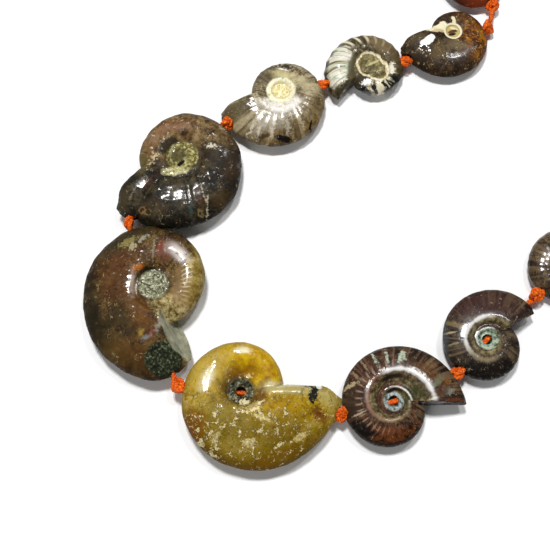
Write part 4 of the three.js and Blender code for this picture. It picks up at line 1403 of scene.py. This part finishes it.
def ring_stone(coil, tints):
    stone, color = stone_base("ring_stone", coil, tints, 2.2, 0.15, 70, 0.5)
    outer = stone.rise(stone.share, 0.58, 0.7)
    color = combed(stone, color, paint(142, 122, 92), stone.growth_lines(70, 0.4, 4),
                   0.53, 0.61, outer, 0.4)
    streaks = stone.growth_lines(40, 0.5, 5)
    color = combed(stone, color, paint(120, 102, 76), streaks, 0.51, 0.62, outer, 0.6)
    color = combed(stone, color, paint(22, 13, 8), streaks, 0.48, 0.38, outer, 0.7)
    low = stone.patch((0, -8.8), (10, 4.6), 0, 0.35, 0.8)
    color = blots(
        stone, color, ((72, 38, 36), 0.6, (-1, 10), (9, 5), 0, 0.6, 1.2),
        ((14, 10, 8), 0.95, (0, -8.8), (10, 4.6), 0, 0.3, 0.8),
        ((196, 180, 144), 0.85, (-10.8, 2.4), (1.8, 0.26), 6, 0.3, 0.2),
        ((140, 122, 90), 0.75, (-9.0, 4.6), (2.6, 0.8), -20, 0.4, 0.5),
        ((164, 148, 114), 0.7, (-9.6, -0.6), (1.4, 0.26), 12, 0.3, 0.2),
        ((84, 90, 94), 0.6, (-12.0, 0.3), (1.0, 8), 0, 0.5, 0.5),
    )
    color = veins(stone, color, paint(176, 140, 84), 2.0, 0.02, 0.7, low, 1.1)
    color = veins(stone, color, paint(206, 192, 160), 2.6, 0.014, 0.6, None, 1.3, 0.03)
    inner = stone.outside(stone.rise(stone.share, 0.36, 0.5))
    cellar = grains(stone, 1.2, (72, 62, 38), (118, 104, 70), (158, 142, 100), (190, 176, 136))
    color = stone.lay(color, cellar, 0.85, inner)
    # Painted highlights along the crest: a white arc on the left and a fainter tan arc below.
    color = painted_crest_highlight(stone, color, paint(246, 244, 238), 0.046, 0.95,
                       stone.patch((-3.8, 2.6), (3.6, 6.4), -34, 0.35), 0.03)
    color = painted_crest_highlight(stone, color, paint(166, 148, 114), 0.06, 0.65,
                       stone.patch((-3.2, -4.2), (5.2, 2.6), -14, 0.6), 0.02)
    pearl = grains(stone, 0.9, (52, 70, 56), (112, 136, 112), (186, 202, 178), (206, 204, 188))
    color = stone.mix(stone.disc(2.9, 0.1, 0.2), color, pearl)
    gloss(stone, 0.85, ((-4.8, 3.0), (3.6, 6.4), -26), ((-6, -3), (2, 4), 20),
          ((0, 6.2), (4.6, 2), 0), ((-2, 10.6), (1, 0.8), 0))
    return polished(stone, color, lines=0.02, value=0.74)


def russet_stone(coil, tints):
    stone, color = stone_base("russet_stone", coil, tints, 2.6)
    color = blots(stone, color, ((132, 52, 16), 0.7, (-1, -8), (7, 2.2), 0, 0.6, 1.0),
                  ((30, 9, 5), 0.7, (-6, -4), (4, 5), 0, 0.6, 1.0))
    color = veins(stone, color, paint(196, 140, 84), 2.0, 0.025, 0.8, None, 1.2, 0.04)
    color = crystal_floor(stone, color, 1.9, (40, 22, 14), (120, 86, 56), (206, 182, 136),
                          ragged=0.1)
    gloss(stone, 0.6, ((-2, -4), (7, 5), 0))
    return polished(stone, color)


def back_stone(name, coil, tints):
    stone, color = stone_base(name, coil, tints, 3.0, 0.15, 60, 0.5)
    outer = stone.rise(stone.share, 0.5, 0.66)
    color = combed(stone, color, tints.pale, stone.growth_lines(30, 0.5, 4), 0.5, 0.6, outer, 0.5)
    color = combed(stone, color, tints.deep, stone.growth_lines(50, 0.6, 4), 0.54, 0.64, outer, 0.6)
    color = veins(stone, color, tints.pale, 2.4, 0.02, 0.8, None, 1.3, 0.04)
    color = veins(stone, color, tints.deep, 2.4, 0.03, 0.8)
    color = crystal_floor(stone, color, 0.14 * coil["reach"], (60, 52, 32), (150, 136, 92),
                          (222, 210, 166), ragged=0.14)
    gloss(stone, 0.8, ((0, 0.3 * coil["reach"]), (0.8 * coil["reach"], 0.4 * coil["reach"]), -20))
    return polished(stone, color, lines=0.02)


def cord_finish(dye):
    """Waxed, dyed cord: fine fibres, with painted shade in the gaps between them and painted highlights
    on their tops.
    """
    finish = Finish("cord_dye", (0, 0, 0))
    fibres = finish.noise(0.32, 3, 0.6, distortion=0.8)
    worn = finish.noise(2.2, 3, 0.6)
    # Painted shade: the fibres' low places darker red.
    dark = finish.mix(finish.rise(fibres, 0.58, 0.4), dye, paint(160, 44, 2))
    color = finish.lay(dark, paint(226, 84, 8), 0.5, finish.rise(worn, 0.5, 0.66))
    # Painted highlight: the fibres' high places pale orange.
    color = finish.lay(color, paint(255, 168, 48), 0.7, finish.rise(fibres, 0.56, 0.66))
    return finish.surface(
        Base_Color=color, Roughness=0.6, Specular_IOR_Level=0.25,
        Normal=finish.bump(fibres, 0.24),
    )


# --- Settings ----------------------------------------------------------------------------------

FLOOR_SIZE = 4
FLOOR_DROP = 0.00002
LOOK_AT = (-0.043, -0.0425, 0)
CAMERA_PLACE = (-0.043, -0.11072, 0.24291)
CAMERA_TILT = 16  # degrees from straight down
CAMERA_LENS = 60
SENSOR_WIDTH = 36
# Each lamp's place from the point it shines at, its width, and whether the polish mirrors it.
LAMPS = {
    "key": ((-0.1, 0.3, 0.92), 0.16, True),
    "side": ((0.28, 0.35, 0.92), 0.12, True),
    "fill": ((-0.45, -0.6, 0.7), 0.5, False),
}


def length_setting(name, description, millimetres):
    return FloatProperty(name=name, description=description, default=millimetres * MM,
                         min=0.0, unit="LENGTH", subtype="DISTANCE", precision=5)


def color_setting(name, description, color):
    return FloatVectorProperty(name=name, description=description, default=color, size=4,
                               min=0.0, max=1.0, subtype="COLOR")


class ShellSettings(bpy.types.PropertyGroup):
    """Sizes that all the shells share."""

    grain: length_setting("Grain", "Size of the cells a shell's mesh is made of", 0.22)
    hole_width: length_setting("Hole width", "Width of the hole drilled for the cord", 2.2)
    seat_width: length_setting("Knot seat", "Width of the hollow filed for a knot", 4.5)


class CordSettings(bpy.types.PropertyGroup):
    """Size and dye of the cord."""

    thickness: length_setting("Thickness", "Thickness of the cord", 1.5)
    pitch: length_setting("Lay", "Length of cord over which its plies turn once", 4.2)
    dye: color_setting("Dye", "Colour of the cord", paint(246, 106, 6))


def stone_settings(name, body, deep, pale):
    """The three tints of one stone."""
    tints = {
        "body": color_setting("Body", f"Main colour of the {name} stone", paint(*body)),
        "deep": color_setting("Deep", f"Darkest colour of the {name} stone", paint(*deep)),
        "pale": color_setting("Pale", f"Lightest colour of the {name} stone", paint(*pale)),
    }
    return type(f"{name.title()}Stone", (bpy.types.PropertyGroup,), {"__annotations__": tints})


class StageSettings(bpy.types.PropertyGroup):
    """Light and floor."""

    key_power: FloatProperty(name="Key light", description="Power of the overhead light",
                             default=7.6, min=0.0, unit="POWER")
    side_power: FloatProperty(name="Side light", description="Power of the smaller light",
                              default=2.3, min=0.0, unit="POWER")
    fill_power: FloatProperty(name="Fill light", description="Power of the soft light from in front",
                              default=2.1, min=0.0, unit="POWER")
    sky: FloatProperty(name="Sky", description="Strength of the light from all round",
                       default=0.12, min=0.0)
    floor: color_setting("Floor", "Colour of the surface", (0.95, 0.95, 0.95, 1.0))


# --- Operators ---------------------------------------------------------------------------------


class NECKLACE_OT_stage(bpy.types.Operator):
    """Sets the floor, the lights and the camera"""

    bl_idname = "necklace.stage"
    bl_label = "Stage"

    def execute(self, context):
        settings = context.scene.necklace_stage
        bpy.ops.object.select_all(action="DESELECT")
        bpy.ops.mesh.primitive_plane_add(size=FLOOR_SIZE, location=(0, 0, -FLOOR_DROP))
        floor = start("floor")
        finish = Finish("pale_floor", (0, 0, 0))
        tone = finish.mix(finish.noise(60), settings.floor, (0.94, 0.94, 0.94, 1))
        floor.data.materials.append(finish.surface(Base_Color=tone, Roughness=0.7))
        settle(floor)
        world = bpy.data.worlds.new("soft_sky")
        context.scene.world = world
        world.use_nodes = True
        background = world.node_tree.nodes["Background"]
        background.inputs["Color"].default_value = (1, 1, 1, 1)
        background.inputs["Strength"].default_value = settings.sky
        for name, lamp in LAMPS.items():
            self.lamp(f"{name}_light", getattr(settings, f"{name}_power"), *lamp)
        context.scene.view_settings.view_transform = "Standard"
        bpy.ops.object.camera_add(location=CAMERA_PLACE,
                                  rotation=(math.radians(CAMERA_TILT), 0, 0))
        camera = bpy.context.object
        camera.name = "camera"
        camera.data.lens = CAMERA_LENS
        camera.data.sensor_width = SENSOR_WIDTH
        camera.data.clip_start = 0.01
        context.scene.camera = camera
        return {"FINISHED"}

    def lamp(self, name, power, offset, width, mirrored):
        offset = Vector(offset)
        bpy.ops.object.light_add(type="AREA", location=Vector(LOOK_AT) + offset)
        lamp = bpy.context.object
        lamp.name = name
        lamp.rotation_euler = offset.to_track_quat("Z", "Y").to_euler()
        lamp.data.shape = "DISK"
        lamp.data.size = width
        lamp.data.energy = power
        lamp.visible_glossy = mirrored


class NECKLACE_OT_cord(bpy.types.Operator):
    """Ties the cord with its knots and cut ends"""

    bl_idname = "necklace.cord"
    bl_label = "Cord"

    def execute(self, context):
        settings = context.scene.necklace_cord
        piece = knotted_cord(settings)
        material = cord_finish(settings.dye)
        finish_piece(piece, "cord", material)
        return {"FINISHED"}


class ShellMaker:
    """What the shells' operators share: the modelling, the finish and the CAD node."""

    def make(self, context, name, coil, slot, material):
        piece = ammonite(f"{name}_ammonite", coil, context.scene.necklace_shells)
        finish_piece(piece, f"ammonite_{name}", material)

    def execute(self, context):
        coil = FOSSILS[self.fossil]
        tints = getattr(context.scene, f"necklace_{self.fossil}")
        self.make(context, self.fossil, coil, f"fossil_{self.fossil}", self.stone(coil, tints))
        return {"FINISHED"}


class NECKLACE_OT_chestnut(ShellMaker, bpy.types.Operator):
    """Chestnut and amber shell with a cream ring round its navel"""

    bl_idname = "necklace.chestnut"
    bl_label = "Chestnut ammonite"
    fossil = "chestnut"
    stone = staticmethod(chestnut_stone)


class NECKLACE_OT_banded(ShellMaker, bpy.types.Operator):
    """Olive shell with pearly ribs and an open navel"""

    bl_idname = "necklace.banded"
    bl_label = "Banded ammonite"
    fossil = "banded"
    stone = staticmethod(banded_stone)


class NECKLACE_OT_silver(ShellMaker, bpy.types.Operator):
    """Pale grey, finely ribbed shell"""

    bl_idname = "necklace.silver"
    bl_label = "Silver ammonite"
    fossil = "silver"
    stone = staticmethod(silver_stone)


class NECKLACE_OT_dark(ShellMaker, bpy.types.Operator):
    """Dark brown shell with a crystal-filled navel"""

    bl_idname = "necklace.dark"
    bl_label = "Dark ammonite"
    fossil = "dark"
    stone = staticmethod(dark_stone)


class NECKLACE_OT_brown(ShellMaker, bpy.types.Operator):
    """Large brown and amber shell with a rough green patch at its mouth"""

    bl_idname = "necklace.brown"
    bl_label = "Brown ammonite"
    fossil = "brown"
    stone = staticmethod(brown_stone)


class NECKLACE_OT_golden(ShellMaker, bpy.types.Operator):
    """Large golden shell, pierced at the navel"""

    bl_idname = "necklace.golden"
    bl_label = "Golden ammonite"
    fossil = "golden"
    stone = staticmethod(golden_stone)


class NECKLACE_OT_maroon(ShellMaker, bpy.types.Operator):
    """Maroon shell with a sharp ridge round its pierced navel"""

    bl_idname = "necklace.maroon"
    bl_label = "Maroon ammonite"
    fossil = "maroon"
    stone = staticmethod(maroon_stone)


class NECKLACE_OT_ring(ShellMaker, bpy.types.Operator):
    """Plum-brown shell with a bright ridge round its pierced navel"""

    bl_idname = "necklace.ring"
    bl_label = "Ring ammonite"
    fossil = "ring"
    stone = staticmethod(ring_stone)


class NECKLACE_OT_russet(ShellMaker, bpy.types.Operator):
    """Small dark red shell"""

    bl_idname = "necklace.russet"
    bl_label = "Russet ammonite"
    fossil = "russet"
    stone = staticmethod(russet_stone)


class NECKLACE_OT_back(ShellMaker, bpy.types.Operator):
    """The smaller, plainer shells round the back of the loop"""

    bl_idname = "necklace.back"
    bl_label = "Back ammonites"

    def execute(self, context):
        for index, (name, coil) in enumerate(BACK_FOSSILS.items()):
            kind = BACK_FINISHES[index % len(BACK_FINISHES)]
            tints = getattr(context.scene, f"necklace_{kind}")
            material = back_stone(f"{kind}_stone_{index + 1}", coil, tints)
            self.make(context, name, coil, f"fossil_back_{kind}", material)
        return {"FINISHED"}


class NECKLACE_PT_panel(bpy.types.Panel):
    """Lists the necklace's pieces in the sidebar"""

    bl_idname = "NECKLACE_PT_panel"
    bl_label = "Ammonite necklace"
    bl_space_type = "VIEW_3D"
    bl_region_type = "UI"
    bl_category = "Ammonites"

    def draw(self, context):
        for operator in OPERATORS:
            self.layout.operator(operator.bl_idname)


OPERATORS = (
    NECKLACE_OT_stage, NECKLACE_OT_cord, NECKLACE_OT_chestnut, NECKLACE_OT_banded,
    NECKLACE_OT_silver, NECKLACE_OT_dark, NECKLACE_OT_brown, NECKLACE_OT_golden,
    NECKLACE_OT_maroon, NECKLACE_OT_ring, NECKLACE_OT_russet, NECKLACE_OT_back,
)
SETTINGS = {
    "necklace_shells": ShellSettings,
    "necklace_cord": CordSettings,
    "necklace_stage": StageSettings,
    **{f"necklace_{name}": stone_settings(name, *tints) for name, tints in STONE_TINTS.items()},
}


def register():
    for settings in SETTINGS.values():
        bpy.utils.register_class(settings)
    for name, settings in SETTINGS.items():
        setattr(bpy.types.Scene, name, PointerProperty(type=settings))
    for operator in OPERATORS:
        bpy.utils.register_class(operator)
    bpy.utils.register_class(NECKLACE_PT_panel)


def unregister():
    bpy.utils.unregister_class(NECKLACE_PT_panel)
    for operator in reversed(OPERATORS):
        bpy.utils.unregister_class(operator)
    for name, settings in SETTINGS.items():
        delattr(bpy.types.Scene, name)
        bpy.utils.unregister_class(settings)


def main():
    register()
    bpy.ops.necklace.stage()
    bpy.ops.necklace.cord()
    bpy.ops.necklace.chestnut()
    bpy.ops.necklace.banded()
    bpy.ops.necklace.silver()
    bpy.ops.necklace.dark()
    bpy.ops.necklace.brown()
    bpy.ops.necklace.golden()
    bpy.ops.necklace.maroon()
    bpy.ops.necklace.ring()
    bpy.ops.necklace.russet()
    bpy.ops.necklace.back()


if __name__ == "__main__":
    main()
